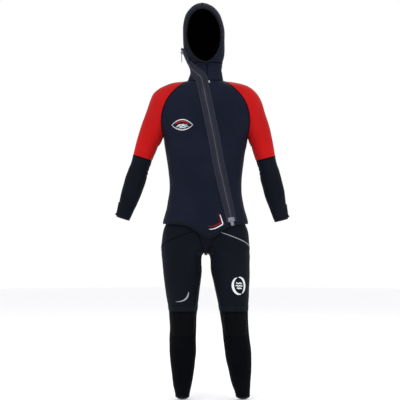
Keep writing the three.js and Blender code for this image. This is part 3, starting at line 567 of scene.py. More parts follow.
def lattice_uv(points: Array, ring: bool) -> Array:
    """Lengths across and along a grid, in metres, at the four corners of each quad."""
    if ring:
        points = np.concatenate([points, points[:, :1]], axis=1)
    across = np.cumsum(np.linalg.norm(np.diff(points, axis=1), axis=2), axis=1)
    across = np.pad(across, ((0, 0), (1, 0)))
    across -= across[:, -1:] / 2.0
    along = np.pad(np.cumsum(np.linalg.norm(np.diff(points, axis=0), axis=2), axis=0), ((1, 0), (0, 0)))
    lengths = np.stack([across, along], axis=-1) * MM
    corners = [lengths[:-1, :-1], lengths[:-1, 1:], lengths[1:, 1:], lengths[1:, :-1]]
    return np.stack(corners, axis=2).reshape(-1, 2)


def signed_volume(points: Array, faces: list[Array]) -> float:
    """Volume inside faces, positive where they face outwards."""
    total = 0.0
    for group in faces:
        for k in range(1, group.shape[1] - 1):
            a, b, c = points[group[:, 0]], points[group[:, k]], points[group[:, k + 1]]
            total += float((a * np.cross(b, c)).sum())
    return total


def mesh_piece(
    name: str, points: Array, faces: list[Array], uv: Array | None = None, smooth: bool = True
) -> bpy.types.Object:
    """Makes a piece from millimetre points, heights above the ankle hems, and lists of faces.

    Args:
        name: the piece's name.
        points: its points, on a last axis of three.
        faces: arrays of point numbers, one array for each number of corners.
        uv: lengths at each corner of each face, in the order of the faces.
        smooth: whether the faces are shaded smooth.

    Returns:
        The object, at the origin, in metres.
    """
    flat = points.reshape(-1, 3) * MM
    flat[:, 2] -= NECK_SEAM_Z * MM
    corners = np.concatenate([group.ravel() for group in faces]).astype(np.int32)
    sizes = np.concatenate([np.full(len(group), group.shape[1]) for group in faces])
    starts = np.concatenate([[0], np.cumsum(sizes)[:-1]]).astype(np.int32)
    mesh = bpy.data.meshes.new(name)
    mesh.vertices.add(len(flat))
    mesh.vertices.foreach_set("co", flat.astype(np.float32).ravel())
    mesh.loops.add(len(corners))
    mesh.loops.foreach_set("vertex_index", corners)
    mesh.polygons.add(len(starts))
    mesh.polygons.foreach_set("loop_start", starts)
    mesh.polygons.foreach_set("use_smooth", np.full(len(starts), smooth))
    if uv is not None:
        layer = mesh.uv_layers.new(name="lengths")
        layer.data.foreach_set("uv", uv.astype(np.float32).ravel())
    mesh.update(calc_edges=True)
    mesh.validate()
    piece = bpy.data.objects.new(name, mesh)
    bpy.context.scene.collection.objects.link(piece)
    return piece


def welded(piece: bpy.types.Object, distance: float = 2e-6) -> bpy.types.Object:
    """Merges the points of a piece that lie on each other, as at a pole."""
    shape = bmesh.new()
    shape.from_mesh(piece.data)
    bmesh.ops.remove_doubles(shape, verts=shape.verts, dist=distance)
    shape.to_mesh(piece.data)
    shape.free()
    return piece


def swept(sections: Array, closed: bool = False) -> Shape:
    """A closed solid from cross-sections along a path.

    Args:
        sections: points, by place along the path and then round the section.
        closed: whether the path returns to its start; otherwise both ends are capped.

    Returns:
        The points and their faces, turned outwards.
    """
    rows, columns = sections.shape[:2]
    points = sections.reshape(-1, 3)
    faces = [lattice(rows, columns, True, closed)]
    if not closed:
        first = np.arange(columns)
        faces.append(np.stack([first[::-1], first + (rows - 1) * columns]))
    if signed_volume(points, faces) < 0.0:
        faces = [group[:, ::-1] for group in faces]
    return points, faces


def joined(parts: list[Shape]) -> Shape:
    """Several solids as one set of points and faces."""
    points, faces, start = [], {}, 0
    for part_points, part_faces in parts:
        flat = part_points.reshape(-1, 3)
        points.append(flat)
        for group in part_faces:
            faces.setdefault(group.shape[1], []).append(group + start)
        start += len(flat)
    return np.concatenate(points), [np.concatenate(group) for group in faces.values()]


def tube(path: Array, normals: Array, radius: float, sides: int) -> Shape:
    """A round rod along a path.

    Args:
        path: points of its middle line.
        normals: a direction across the path at each point.
        radius: half its width.
        sides: points round the section.

    Returns:
        The points and faces.
    """
    along = np.gradient(path, axis=0)
    side = unit(np.cross(along, normals))
    up = unit(np.cross(side, along))
    angle = np.linspace(0.0, 2.0 * np.pi, sides, endpoint=False)[None, :, None]
    return swept(path[:, None] + radius * (side[:, None] * np.cos(angle) + up[:, None] * np.sin(angle)))


def stitched(starts: Array, ends: Array, normals: Array, radius: float) -> Shape:
    """Stitches of thread, each a spindle with two square sections between two points."""
    along = ends - starts
    side = unit(np.cross(normals, along)) * radius
    up = normals * radius
    rings = [
        [starts + along * share + side * a + up * (b + 0.5) for a, b in ((1, 0), (0, 1), (-1, 0), (0, -1))]
        for share in (0.2, 0.8)
    ]
    points = np.stack([starts - up * 0.4, *rings[0], *rings[1], ends - up * 0.4], axis=1)
    first = np.arange(len(starts))[:, None] * 10
    k = np.arange(4)
    n = (k + 1) % 4
    near = np.stack([np.zeros(4, int), 1 + k, 1 + n], axis=-1)
    far = np.stack([np.full(4, 9), 5 + n, 5 + k], axis=-1)
    wall = np.stack([1 + k, 5 + k, 5 + n, 1 + n], axis=-1)
    tris = (first[..., None] + np.concatenate([near, far])[None]).reshape(-1, 3)
    quads = (first[..., None] + wall[None]).reshape(-1, 4)
    points = points.reshape(-1, 3)
    faces = [tris, quads]
    if signed_volume(points - points.mean(axis=0), faces) < 0.0:
        faces = [group[:, ::-1] for group in faces]
    return points, faces


@dataclass
class Course:
    """A line on the suit for a seam, a hem or a row of stitches.

    Its points have an outward normal and two unit directions that lie on the panels beside it.
    """

    points: Array
    normals: Array
    left: Array
    right: Array
    closed: bool = False

    @classmethod
    def on(cls, skin: Skin, u: Array, v: Array, closed: bool = False) -> "Course":
        """A course over one skin through the given places."""
        points, normals = skin.frame(u, v)
        along = np.roll(points, -1, 0) - np.roll(points, 1, 0) if closed else np.gradient(points, axis=0)
        side = unit(np.cross(normals, along))
        return cls(points, normals, side, -side, closed)

    def every(self, spacing: float) -> "Course":
        """The same course with points an even distance apart, about the spacing."""
        arrays = [self.points, self.normals, self.left, self.right]
        if self.closed:
            arrays = [np.concatenate([a, a[:1]]) for a in arrays]
        lengths = travelled(arrays[0])
        count = max(3, int(round(lengths[-1] / spacing)))
        wanted = np.linspace(0.0, lengths[-1], count + 1)
        if self.closed:
            wanted = wanted[:-1]
        points, normals, left, right = (at_lengths(a, lengths, wanted) for a in arrays)
        return Course(points, unit(normals), unit(left), unit(right), self.closed)

    def beside(self, distance: float, lift: float = 0.0) -> Array:
        """Points at a distance to the left, or right where it is negative, and lifted."""
        way = self.left if distance > 0.0 else self.right
        return self.points + way * abs(distance) + self.normals * lift

    def band(self, half_width: float, rise: float) -> Shape:
        """A flat seam: a ribbon with two low ridges and a groove between them."""
        course = self.every(4.0)
        top = mirrored([(0.3, rise), (0.72, rise), (1.0, -0.5)], rise - 0.3)
        under = [(0.6, -1.6), (-0.6, -1.6)]
        rows = [course.beside(share * half_width, lift) for share, lift in top + under]
        return swept(np.stack(rows, axis=1), self.closed)

    def zigzag(self, half_width: float, pitch: float, lift: float, radius: float) -> Shape:
        """Thread that crosses the seam to and fro."""
        course = self.every(pitch / 2.0)
        sign = np.where(np.arange(len(course.points)) % 2 == 0, 1.0, -1.0)[:, None]
        way = np.where(sign > 0.0, course.left, course.right)
        knots = course.points + way * half_width + course.normals * lift
        ends = np.roll(knots, -1, axis=0)
        if not self.closed:
            knots, ends = knots[:-1], ends[:-1]
        return stitched(knots, ends, course.normals[: len(knots)], radius)

    def row(self, distance: float, stitch: float, gap: float, lift: float, radius: float) -> Shape:
        """A straight row of stitches at a distance to one side of the course."""
        course = self.every(stitch + gap)
        line = course.beside(distance, lift)
        ends = np.roll(line, -1, axis=0)
        starts, normals = line, course.normals
        if not self.closed:
            starts, ends, normals = line[:-1], ends[:-1], normals[:-1]
        share = stitch / (stitch + gap)
        return stitched(starts, lerp(starts, ends, share), normals, radius)


def hem_ring(base: Array, down: Array, inwards: Array, length: float, wall: float, rise: float) -> Shape:
    """A turned hem: a rounded lip at the end of a tube of neoprene.

    Args:
        base: points of the tube's outer edge, round its opening.
        down: unit directions out of the opening.
        inwards: unit directions through the wall.
        length: how far the hem reaches back up the tube.
        wall: thickness of the tube.
        rise: how far the hem stands out from both sides of the wall.

    Returns:
        The points and faces.
    """
    radius = wall / 2.0 + rise
    bend = np.linspace(-np.pi / 2.0, np.pi / 2.0, 9)
    profile = [(-length, 0.3), (-length + 0.8, -rise * 0.8)]
    profile += [(share * length, -rise * (1.0 + 0.25 * math.sin(share * 9.0))) for share in (-0.75, -0.5)]
    profile += [(radius * (math.cos(a) - 1.0), wall / 2.0 + radius * math.sin(a)) for a in bend]
    profile += [(-length * 0.6, wall + rise), (-length + 0.8, wall + rise * 0.8), (-length, wall - 0.3)]
    rows = [base + down * along + inwards * deep for along, deep in profile]
    return swept(np.stack(rows, axis=1), True)


# ---- Materials -----------------------------------------------------------------------------------
def linear(red: int, green: int, blue: int) -> tuple[float, float, float, float]:
    """A screen colour from 0 to 255 as the renderer's linear colour."""
    shares = np.array([red, green, blue]) / 255.0
    light = np.where(shares <= 0.04045, shares / 12.92, ((shares + 0.055) / 1.055) ** 2.4)
    return (*map(float, light), 1.0)


class Wire:
    """A shader socket in arithmetic: each operator adds the Math node that it names."""

    def __init__(self, graph: "Graph", socket: bpy.types.NodeSocket) -> None:
        """Holds a socket of one graph."""
        self.graph, self.socket = graph, socket

    def _math(self, operation: str, *values: "Wire | float") -> "Wire":
        """A Math node over values."""
        return self.graph.node("ShaderNodeMath", {"operation": operation}, dict(enumerate(values)))

    def __add__(self, other: "Wire | float") -> "Wire":
        """Sum."""
        return self._math("ADD", self, other)

    __radd__ = __add__

    def __sub__(self, other: "Wire | float") -> "Wire":
        """Difference."""
        return self._math("SUBTRACT", self, other)

    def __rsub__(self, other: "Wire | float") -> "Wire":
        """Difference, with the wire on the right."""
        return self._math("SUBTRACT", other, self)

    def __mul__(self, other: "Wire | float") -> "Wire":
        """Product."""
        return self._math("MULTIPLY", self, other)

    __rmul__ = __mul__

    def sine(self) -> "Wire":
        """Sine, in radians."""
        return self._math("SINE", self)

    def size(self) -> "Wire":
        """Absolute value."""
        return self._math("ABSOLUTE", self)

    def rising(self, low: float, high: float) -> "Wire":
        """0 below low, 1 above high and a smooth step between."""
        settings = {"interpolation_type": "SMOOTHSTEP"}
        return self.graph.node(
            "ShaderNodeMapRange", settings, {"Value": self, "From Min": low, "From Max": high}
        )


class Graph:
    """The nodes of one material."""

    def __init__(self, material: bpy.types.Material) -> None:
        """Empties the material's tree and adds its shader and output."""
        material.use_nodes = True
        self.tree = material.node_tree
        self.tree.nodes.clear()
        self.shader = self.tree.nodes.new("ShaderNodeBsdfPrincipled")
        output = self.tree.nodes.new("ShaderNodeOutputMaterial")
        self.tree.links.new(self.shader.outputs[0], output.inputs[0])

    def node(
        self, kind: str, settings: dict | None = None, inputs: dict | None = None, output: int | str = 0
    ) -> Wire:
        """Adds a node.

        Args:
            kind: its type.
            settings: its properties, set first.
            inputs: values or wires by socket name or number.
            output: the socket that is returned.

        Returns:
            The wanted output.
        """
        made = self.tree.nodes.new(kind)
        for key, value in (settings or {}).items():
            setattr(made, key, value)
        for key, value in (inputs or {}).items():
            self.set(made.inputs[key], value)
        return Wire(self, made.outputs[output])

    def set(self, socket: bpy.types.NodeSocket, value: "Wire | float | tuple") -> None:
        """Links a wire to a socket, or sets its value."""
        if isinstance(value, Wire):
            self.tree.links.new(value.socket, socket)
        else:
            socket.default_value = value

    def place(self) -> Wire:
        """The place on the piece, in metres in the frame's axes."""
        return self.node("ShaderNodeTexCoord", output="Object")

    def lengths(self) -> tuple[Wire, Wire]:
        """Lengths across and along the panel, in metres."""
        uv = self.node("ShaderNodeUVMap", {"uv_map": "lengths"})
        return (
            self.node("ShaderNodeSeparateXYZ", inputs={0: uv}, output=0),
            self.node("ShaderNodeSeparateXYZ", inputs={0: uv}, output=1),
        )

    def noise(
        self, scale: float, detail: float = 2.0, stretch: tuple[float, float, float] = (1.0, 1.0, 1.0)
    ) -> Wire:
        """Noise from 0 to 1 over the place on the piece."""
        spot = self.node("ShaderNodeMapping", inputs={0: self.place(), "Scale": stretch})
        inputs = {"Vector": spot, "Scale": scale, "Detail": detail}
        return self.node("ShaderNodeTexNoise", inputs=inputs)

    def mixed(self, share: Wire | float, first: Wire | tuple, second: Wire | tuple) -> Wire:
        """A colour between two colours."""
        made = self.tree.nodes.new("ShaderNodeMix")
        made.data_type = "RGBA"
        self.set(made.inputs["Factor"], share)
        for socket, value in zip((made.inputs[6], made.inputs[7]), (first, second)):
            self.set(socket, value)
        return Wire(self, made.outputs[2])

    def bump(self, height: Wire, depth: float, strength: float = 1.0) -> Wire:
        """A normal for a height from 0 to 1 that stands for a depth in metres."""
        return self.node("ShaderNodeBump", inputs={"Strength": strength, "Distance": depth, "Height": height})

    def finish(self, constants: dict, wired: dict) -> None:
        """Sets the shader's constant sockets and links its varying ones."""
        for key, value in (constants | wired).items():
            self.set(self.shader.inputs[key], value)


@dataclass(frozen=True)
class Finish:
    """A finish: a name, a main colour, a second colour that wear or light brings out, and gloss."""

    name: str
    colour: tuple[float, float, float, float]
    worn: tuple[float, float, float, float]
    roughness: float = 0.7
    specular: float = 0.25
    sheen: float = 0.0

    def material(self) -> bpy.types.Material:
        """The finish's material, made once."""
        found = bpy.data.materials.get(self.name)
        if found is None:
            found = bpy.data.materials.new(self.name)
            graph = Graph(found)
            constants = {
                "Specular IOR Level": self.specular, "Sheen Weight": self.sheen, "Sheen Roughness": 0.45
            }
            graph.finish(constants, self.wires(graph))
        return found

    def wires(self, graph: Graph) -> dict:
        """The varying sockets: a colour and a gloss that both wander a little."""
        wander = graph.noise(40.0)
        return {
            "Base Color": graph.mixed(wander.rising(0.3, 0.8), self.colour, self.worn),
            "Roughness": wander * 0.16 + (self.roughness - 0.08),
        }


@dataclass(frozen=True)
class Jersey(Finish):
    """Nylon jersey bonded to neoprene: fine ribs of knitted stitches, faded in broad patches."""

    wale: float = 0.0011  # between ribs of the knit
    depth: float = 0.00013
    loop_rate: float = 0.8  # loops along a rib for each rib across
    loop_shift: float = 1.7

    def wires(self, graph: Graph) -> dict:
        """Ribs are a sine across the panel, broken along it by a second sine that each rib shifts."""
        across, along = graph.lengths()
        turn = 2.0 * math.pi / self.wale
        rib = (across * turn).sine() * 0.5 + 0.5
        loop = (along * (turn * self.loop_rate) + (across * turn).sine() * self.loop_shift).sine() * 0.5 + 0.5
        knit = rib * (loop * 0.45 + 0.55)
        patches = graph.noise(5.5, 3.0).rising(0.36, 0.72)
        lint = graph.noise(900.0, 1.0)
        scuffs = graph.noise(60.0, 4.0, (1.0, 1.0, 0.35)).rising(0.6, 0.78)
        shade = patches * 0.5 + knit * 0.34 + scuffs * 0.12 + lint * 0.1
        return {
            "Base Color": graph.mixed(shade, self.colour, self.worn),
            "Roughness": scuffs * 0.08 + lint * 0.1 + (self.roughness - 0.08) - knit * 0.05,
            "Normal": graph.bump(knit * 0.8 + lint * 0.25, self.depth, 0.55),
        }


@dataclass(frozen=True)
class Pebbled(Finish):
    """Rubber-coated neoprene: a low pebble grain with pale scuffs on its tops."""

    cell: float = 330.0
    depth: float = 0.00016

    def wires(self, graph: Graph) -> dict:
        """The grain is the distance to the nearest of scattered points."""
        cells = graph.node(
            "ShaderNodeTexVoronoi", {"feature": "F1"}, {"Vector": graph.place(), "Scale": self.cell}
        )
        dust = graph.noise(9.0, 4.0).rising(0.42, 0.75)
        scuffs = graph.noise(110.0, 3.0, (1.0, 1.0, 0.3)).rising(0.58, 0.74)
        shade = dust * 0.4 + scuffs * 0.35 + (1.0 - cells) * 0.15
        return {
            "Base Color": graph.mixed(shade, self.colour, self.worn),
            "Roughness": dust * 0.14 + scuffs * 0.1 + (self.roughness - 0.1),
            "Normal": graph.bump((1.0 - cells) * 0.8 + scuffs * 0.2, self.depth, 0.5),
        }


@dataclass(frozen=True)
class Herringbone(Finish):
    """Woven tape: slanting yarns that change direction in stripes along the tape."""

    yarn: float = 0.0009
    stripe: float = 0.0045
    slant: float = 0.0016
    depth: float = 0.00018

    def wires(self, graph: Graph) -> dict:
        """The slant of the yarns follows a saw edge across the tape."""
        across, along = graph.lengths()
        saw = (across * (2.0 * math.pi / self.stripe)).sine().size()
        yarns = ((along + saw * self.slant) * (2.0 * math.pi / self.yarn)).sine() * 0.5 + 0.5
        grime = graph.noise(30.0, 3.0).rising(0.4, 0.75)
        shade = yarns * 0.55 + grime * 0.25
        return {
            "Base Color": graph.mixed(shade, self.colour, self.worn),
            "Roughness": grime * 0.12 + (self.roughness - 0.06),
            "Normal": graph.bump(yarns, self.depth, 0.6),
        }


@dataclass(frozen=True)
class Moulded(Finish):
    """Moulded plastic: a fine frosted grain, rubbed paler in small spots."""

    depth: float = 0.00004

    def wires(self, graph: Graph) -> dict:
        """Two noises, one for the grain and one for the rubbed spots."""
        grain, rubbed = graph.noise(1800.0, 1.0), graph.noise(260.0, 3.0).rising(0.5, 0.68)
        return {
            "Base Color": graph.mixed(rubbed * 0.7 + grain * 0.15, self.colour, self.worn),
            "Roughness": rubbed * 0.12 + grain * 0.1 + (self.roughness - 0.1),
            "Normal": graph.bump(grain, self.depth, 0.4),
        }


@dataclass(frozen=True)
class SatinMetal(Finish):
    """Brushed metal: long scratches along its height, with dull spots of salt."""

    depth: float = 0.00004

    def wires(self, graph: Graph) -> dict:
        """The scratches are noise that is drawn out along Z."""
        scratches = graph.noise(1500.0, 2.0, (1.0, 1.0, 0.06))
        salt = graph.noise(170.0, 4.0).rising(0.52, 0.72)
        return {
            "Base Color": graph.mixed(salt * 0.6 + scratches * 0.25, self.colour, self.worn),
            "Roughness": scratches * 0.16 + salt * 0.3 + (self.roughness - 0.08),
            "Metallic": 1.0 - salt * 0.35,
            "Normal": graph.bump(scratches, self.depth, 0.35),
        }


@dataclass(frozen=True)
class PrintedFilm(Finish):
    """Printed film: hairline cracks and thin spots where it has rubbed off."""

    cell: float = 420.0
    depth: float = 0.00005

    def wires(self, graph: Graph) -> dict:
        """Cracks are the borders between cells of scattered points."""
        border = graph.node(
            "ShaderNodeTexVoronoi", {"feature": "DISTANCE_TO_EDGE"}, {
                "Vector": graph.place(), "Scale": self.cell
            }
        )
        crack = 1.0 - border.rising(0.004, 0.03)
        rubbed = graph.noise(150.0, 4.0).rising(0.62, 0.74)
        return {
            "Base Color": graph.mixed(crack * 0.22 + rubbed * 0.3, self.colour, self.worn),
            "Roughness": rubbed * 0.2 + crack * 0.1 + (self.roughness - 0.05),
            "Normal": graph.bump(1.0 - crack, self.depth, 0.4),
        }


@dataclass(frozen=True)
class TwistedThread(Finish):
    """Sewing thread: two plies that wind round each other."""

    winding: float = 9000.0
    slope: float = 0.8

    def wires(self, graph: Graph) -> dict:
        """The plies are a fine slanting wave over the place on the piece."""
        spot = graph.place()
        rise = graph.node("ShaderNodeSeparateXYZ", inputs={0: spot}, output=2)
        side = graph.node("ShaderNodeSeparateXYZ", inputs={0: spot}, output=0)
        plies = ((rise + side * self.slope) * self.winding).sine() * 0.5 + 0.5
        return {
            "Base Color": graph.mixed(plies, self.colour, self.worn),
            "Roughness": plies * 0.1 + (self.roughness - 0.05),
        }


NAVY = Jersey("navy_jersey", linear(14, 19, 33), linear(25, 29, 45), 0.78, 0.06, 0.02)
BLACK = Jersey("black_jersey", linear(10, 13, 21), linear(20, 23, 33), 0.78, 0.05, 0.015)
RED = Jersey("red_jersey", linear(166, 9, 11), linear(188, 16, 17), 0.76, 0.1, 0.02)
BAND = Jersey("knee_band_jersey", linear(9, 14, 22), linear(19, 24, 32), 0.72, 0.06, 0.02, 0.0016)
# The real black lining, made near-black with no gloss or sheen so that it also paints the shade inside the
# hood, sleeves and legs.
LINING_PAINTED_SHADE = Jersey("black_lining_painted_shade", linear(2, 2, 3), linear(5, 5, 7), 0.92, 0.0, 0.0, 0.0016)
PAD = Pebbled("knee_pad_rubber", linear(2, 4, 6), linear(9, 13, 16), 0.62, 0.04)
SHIN = Jersey("shin_black_jersey", linear(3, 4, 7), linear(11, 12, 16), 0.8, 0.03, 0.01)
BINDING = Jersey("black_binding", linear(9, 11, 19), linear(20, 23, 33), 0.66, 0.1, 0.02, 0.0009)
SEAM = Jersey("seam_ribbon", linear(2, 3, 7), linear(9, 11, 17), 0.7, 0.04, 0.01, 0.0009)
RED_SEAM = Jersey("red_seam_ribbon", linear(140, 8, 10), linear(160, 14, 15), 0.66, 0.1, 0.02, 0.0009)
THREAD = TwistedThread("dark_thread", linear(6, 8, 14), linear(20, 23, 32), 0.7, 0.05)
TAPE_THREAD = TwistedThread("grey_thread", linear(72, 74, 88), linear(104, 106, 120), 0.66, 0.1)
RED_THREAD = TwistedThread("red_thread", linear(112, 6, 9), linear(150, 14, 16), 0.66, 0.1)
TAPE = Herringbone("zip_tape_weave", linear(26, 27, 37), linear(44, 46, 58), 0.7, 0.1, 0.02)
TEETH = Moulded("grey_moulded_teeth", linear(62, 64, 76), linear(96, 98, 110), 0.46, 0.25)
WRIST_TEETH = Moulded("dark_moulded_teeth", linear(20, 22, 30), linear(40, 42, 52), 0.5, 0.2)
METAL = SatinMetal("satin_metal", linear(128, 130, 138), linear(70, 72, 78), 0.38, 0.4)
DARK_METAL = SatinMetal("black_metal", linear(46, 48, 54), linear(28, 29, 34), 0.42, 0.3)
END_FILM = PrintedFilm("clear_end_film", linear(112, 115, 126), linear(70, 72, 84), 0.3, 0.5)
WHITE_PRINT = PrintedFilm("white_print", linear(226, 228, 232), linear(120, 122, 130), 0.46, 0.15)
RED_PRINT = PrintedFilm("red_print", linear(176, 16, 30), linear(86, 10, 18), 0.46, 0.15)
DARK_RED_PRINT = PrintedFilm("dark_red_print", linear(104, 8, 18), linear(60, 8, 14), 0.46, 0.12)
GREY_PRINT = PrintedFilm("grey_print", linear(150, 153, 162), linear(84, 86, 94), 0.45, 0.35)


# ---- Dressing and riding -------------------------------------------------------------------------
@dataclass(frozen=True)
class Carrier:
    """What a piece moves with: one body, or two bodies and the ends of the span between them."""

    body: str
    bends_to: str = ""
    start: tuple[float, float, float] = (0.0, 0.0, 0.0)
    end: tuple[float, float, float] = (0.0, 0.0, 0.0)

    def carry(self, piece: bpy.types.Object) -> None:
        """Puts a finished piece on its one body; with a second body the piece only has its place baked into
        its mesh.
        """
        if self.bends_to:
            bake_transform(piece)
        else:
            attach(piece, self.body)


def in_frame(point: Array) -> tuple[float, float, float]:
    """A millimetre point, height above the ankle hems, in metres in the frame."""
    return (float(point[0]) * MM, float(point[1]) * MM, float(point[2] - NECK_SEAM_Z) * MM)


SUIT = Carrier("suit")


def dressed(
    piece: bpy.types.Object,
    finish: Finish,
    carrier: Carrier,
    replaces: tuple[str, ...] = (),
) -> bpy.types.Object:
    """Gives a piece its finish, body and the CAD nodes that it stands for.

    Args:
        piece: the piece, with its final mesh.
        finish: its finish.
        carrier: what it moves with.
        replaces: CAD nodes that it stands for.

    Returns:
        The piece.
    """
    piece.data.materials.append(finish.material())
    carrier.carry(piece)
    if replaces:
        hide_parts(*replaces)
    log.info("%s: %d faces on %s", piece.name, len(piece.data.polygons), carrier.body)
    return piece


def solid(name: str, shape: Shape, smooth: bool = True) -> bpy.types.Object:
    """A piece from the points and faces of closed solids."""
    return mesh_piece(name, shape[0], shape[1], smooth=smooth)


def fitted(
    name: str, shape: Shape, finish: Finish, carrier: Carrier, replaces: tuple[str, ...] = ()
) -> bpy.types.Object:
    """A solid piece with its finish, body and CAD nodes."""
    return dressed(solid(name, shape), finish, carrier, replaces)


@dataclass
class Panel:
    """A cut piece of neoprene on a skin: its grid, its pinched edges and its lining."""

    name: str
    skin: Skin
    u: Array  # places across, one row for each place along
    v: Array  # places along
    ring: bool = False
    pinched: tuple[bool, bool, bool, bool] = (True, True, True, True)  # u start, u end, v start, v end
    wall: float = WALL
    weld: bool = False
    dip: float = 0.8
    dip_width: float = 4.5

    def grid(self) -> tuple[Array, Array]:
        """Points and normals: the skin, sunk by a bell curve of the distance to each pinched edge."""
        points, normals = self.skin.frame(self.u, self.v)
        across = np.cumsum(np.pad(np.linalg.norm(np.diff(points, axis=1), axis=2), ((0, 0), (1, 0))), axis=1)
        along = np.cumsum(np.pad(np.linalg.norm(np.diff(points, axis=0), axis=2), ((1, 0), (0, 0))), axis=0)
        away = [across, across[:, -1:] - across, along, along[-1:] - along]
        sink = np.zeros(points.shape[:2])
        for distance, pinch in zip(away, self.pinched):
            if pinch:
                sink = np.maximum(sink, self.dip * np.exp(-((distance / self.dip_width) ** 2)))
        return points - normals * sink[..., None], normals

    def build(self) -> tuple[bpy.types.Object, float, tuple[float, float]]:
        """Makes the piece.

        Returns:
            The piece, its area in square metres, and its greatest width and length in metres.
        """
        points, normals = self.grid()
        rows, columns = points.shape[:2]
        faces = lattice(rows, columns, self.ring, False)
        uv = lattice_uv(points, self.ring)
        corner = points.reshape(-1, 3)[faces]
        face_way = np.cross(corner[:, 2] - corner[:, 0], corner[:, 3] - corner[:, 1])
        outward = normals.reshape(-1, 3)[faces[:, 0]]
        if (face_way * outward).sum() < 0.0:
            faces = faces[:, ::-1]
            uv = uv.reshape(-1, 4, 2)[:, ::-1].reshape(-1, 2)
        area = float(np.linalg.norm(face_way, axis=1).sum() / 2.0) * MM * MM
        loop = np.concatenate([points, points[:, :1]], axis=1) if self.ring else points
        wide = float(np.linalg.norm(np.diff(loop, axis=1), axis=2).sum(axis=1).max()) * MM
        tall = float(np.linalg.norm(np.diff(points, axis=0), axis=2).sum(axis=0).max()) * MM
        piece = mesh_piece(self.name, points, [faces], uv)
        if self.weld:
            welded(piece)
        thickness = piece.modifiers.new("wall", "SOLIDIFY")
        thickness.thickness = self.wall * MM
        thickness.offset = -1.0
        thickness.material_offset = 1
        thickness.material_offset_rim = 1
        return piece, area, (wide, tall)

    def dress(
        self, finish: Finish, carrier: Carrier, slot: str, replaces: tuple[str, ...], rests_on: list[str]
    ) -> bpy.types.Object:
        """Builds the panel and gives it its finish and lining."""
        piece, area, flat = self.build()
        dressed(piece, finish, carrier, replaces)
        # The inner side takes the near-black lining, which also paints the shade inside the piece.
        piece.data.materials.append(LINING_PAINTED_SHADE.material())
        return piece


# ---- Helpers for laid-on parts -------------------------------------------------------------------
def slab(top: Array, normals: Array, thickness: float) -> Shape:
    """A thin closed solid under a grid of top points."""
    under = (top - normals * thickness)[:, ::-1]
    return swept(np.concatenate([top, under], axis=1))


def mirrored(half: list[tuple[float, float]], middle: float) -> list[tuple[float, float]]:
    """A section from its right half, as shares of the half width with heights, and its middle height."""
    return [(-share, height) for share, height in half[::-1]] + [(0.0, middle)] + half


RIBBON_FLAT = 0.86  # share of a ribbon's half width that is flat
RIBBON_BEVEL = 0.25  # drop of its softened edges


def ribbon(course: Course, widths: Array | float, lift: float, thickness: float) -> Shape:
    """A flat strip along a course, with softened edges, whose half width can vary."""
    half = np.broadcast_to(np.asarray(widths, float), (len(course.points),))[:, None]
    section = mirrored([(RIBBON_FLAT, lift), (1.0, lift - RIBBON_BEVEL), (1.0, lift - thickness)], lift)
    rows = []
    for share, height in section:
        way = course.left if share > 0.0 else course.right
        rows.append(course.points + way * np.abs(share) * half + course.normals * height)
    return swept(np.stack(rows, axis=1), course.closed)


def rounded_block(size: tuple[float, float, float], radius: float, centre: tuple[float, float, float],
                  taper: float = 0.0) -> Shape:
    """A block with rounded edges.

    Args:
        size: full width, length and height.
        radius: of its edges.
        centre: its middle.
        taper: how much narrower its far end is, as a share.

    Returns:
        Points and faces.
    """
    angle = np.linspace(0.0, 2.0 * np.pi, 20, endpoint=False) + np.pi / 20.0
    way = np.sign(np.stack([np.cos(angle), np.sin(angle)], axis=-1))
    bend = np.linspace(0.0, np.pi / 2.0, 4)
    inset = np.concatenate([1.0 - np.sin(bend), 1.0 - np.sin(bend[::-1])]) * radius
    place = np.concatenate([radius * (1.0 - np.cos(bend)), size[1] - radius * (1.0 - np.cos(bend[::-1]))])
    rows = []
    for along, cut in zip(place, inset):
        half = np.array([size[0] * (1.0 - taper * along / size[1]), size[2]]) / 2.0 - radius
        round_part = np.stack([np.cos(angle), np.sin(angle)], axis=-1) * (radius - cut)
        flat = way * half + round_part
        rows.append(vec(flat[:, 0], np.full(len(angle), along - size[1] / 2.0), flat[:, 1]))
    return swept(np.stack(rows) + np.array(centre))


@dataclass
class Seat:
    """An origin with three unit axes: across, up along a zip, and out."""

    origin: Array
    across: Array
    up: Array
    out: Array

    def place(self, shape: Shape) -> Shape:
        """A solid made about the origin, set into this seat."""
        points = shape[0].reshape(-1, 3)
        moved = points[:, :1] * self.across + points[:, 1:2] * self.up + points[:, 2:] * self.out
        return self.origin + moved, shape[1]

    def group(self, shapes: list[Shape]) -> Shape:
        """Several solids set into this seat, as one."""
        return joined([self.place(shape) for shape in shapes])


def stamped(shape: Shape, seats: list[Seat]) -> Shape:
    """Copies of a solid in many seats."""
    return joined([seat.place(shape) for seat in seats])


def between(
    points: Array, near_a: tuple[Array, Array], near_b: tuple[Array, Array], closed: bool = False
) -> Course:
    """The course of a seam between two panels.

    Args:
        points: places on the seam.
        near_a: points and normals a little way into one panel.
        near_b: the same in the other panel.
        closed: whether it returns to its start.

    Returns:
        The course, whose left is on the first panel.
    """
    normals = unit(near_a[1] + near_b[1])
    lift = unit(near_a[0] - points), unit(near_b[0] - points)
    return Course(points, normals, lift[0], lift[1], closed)


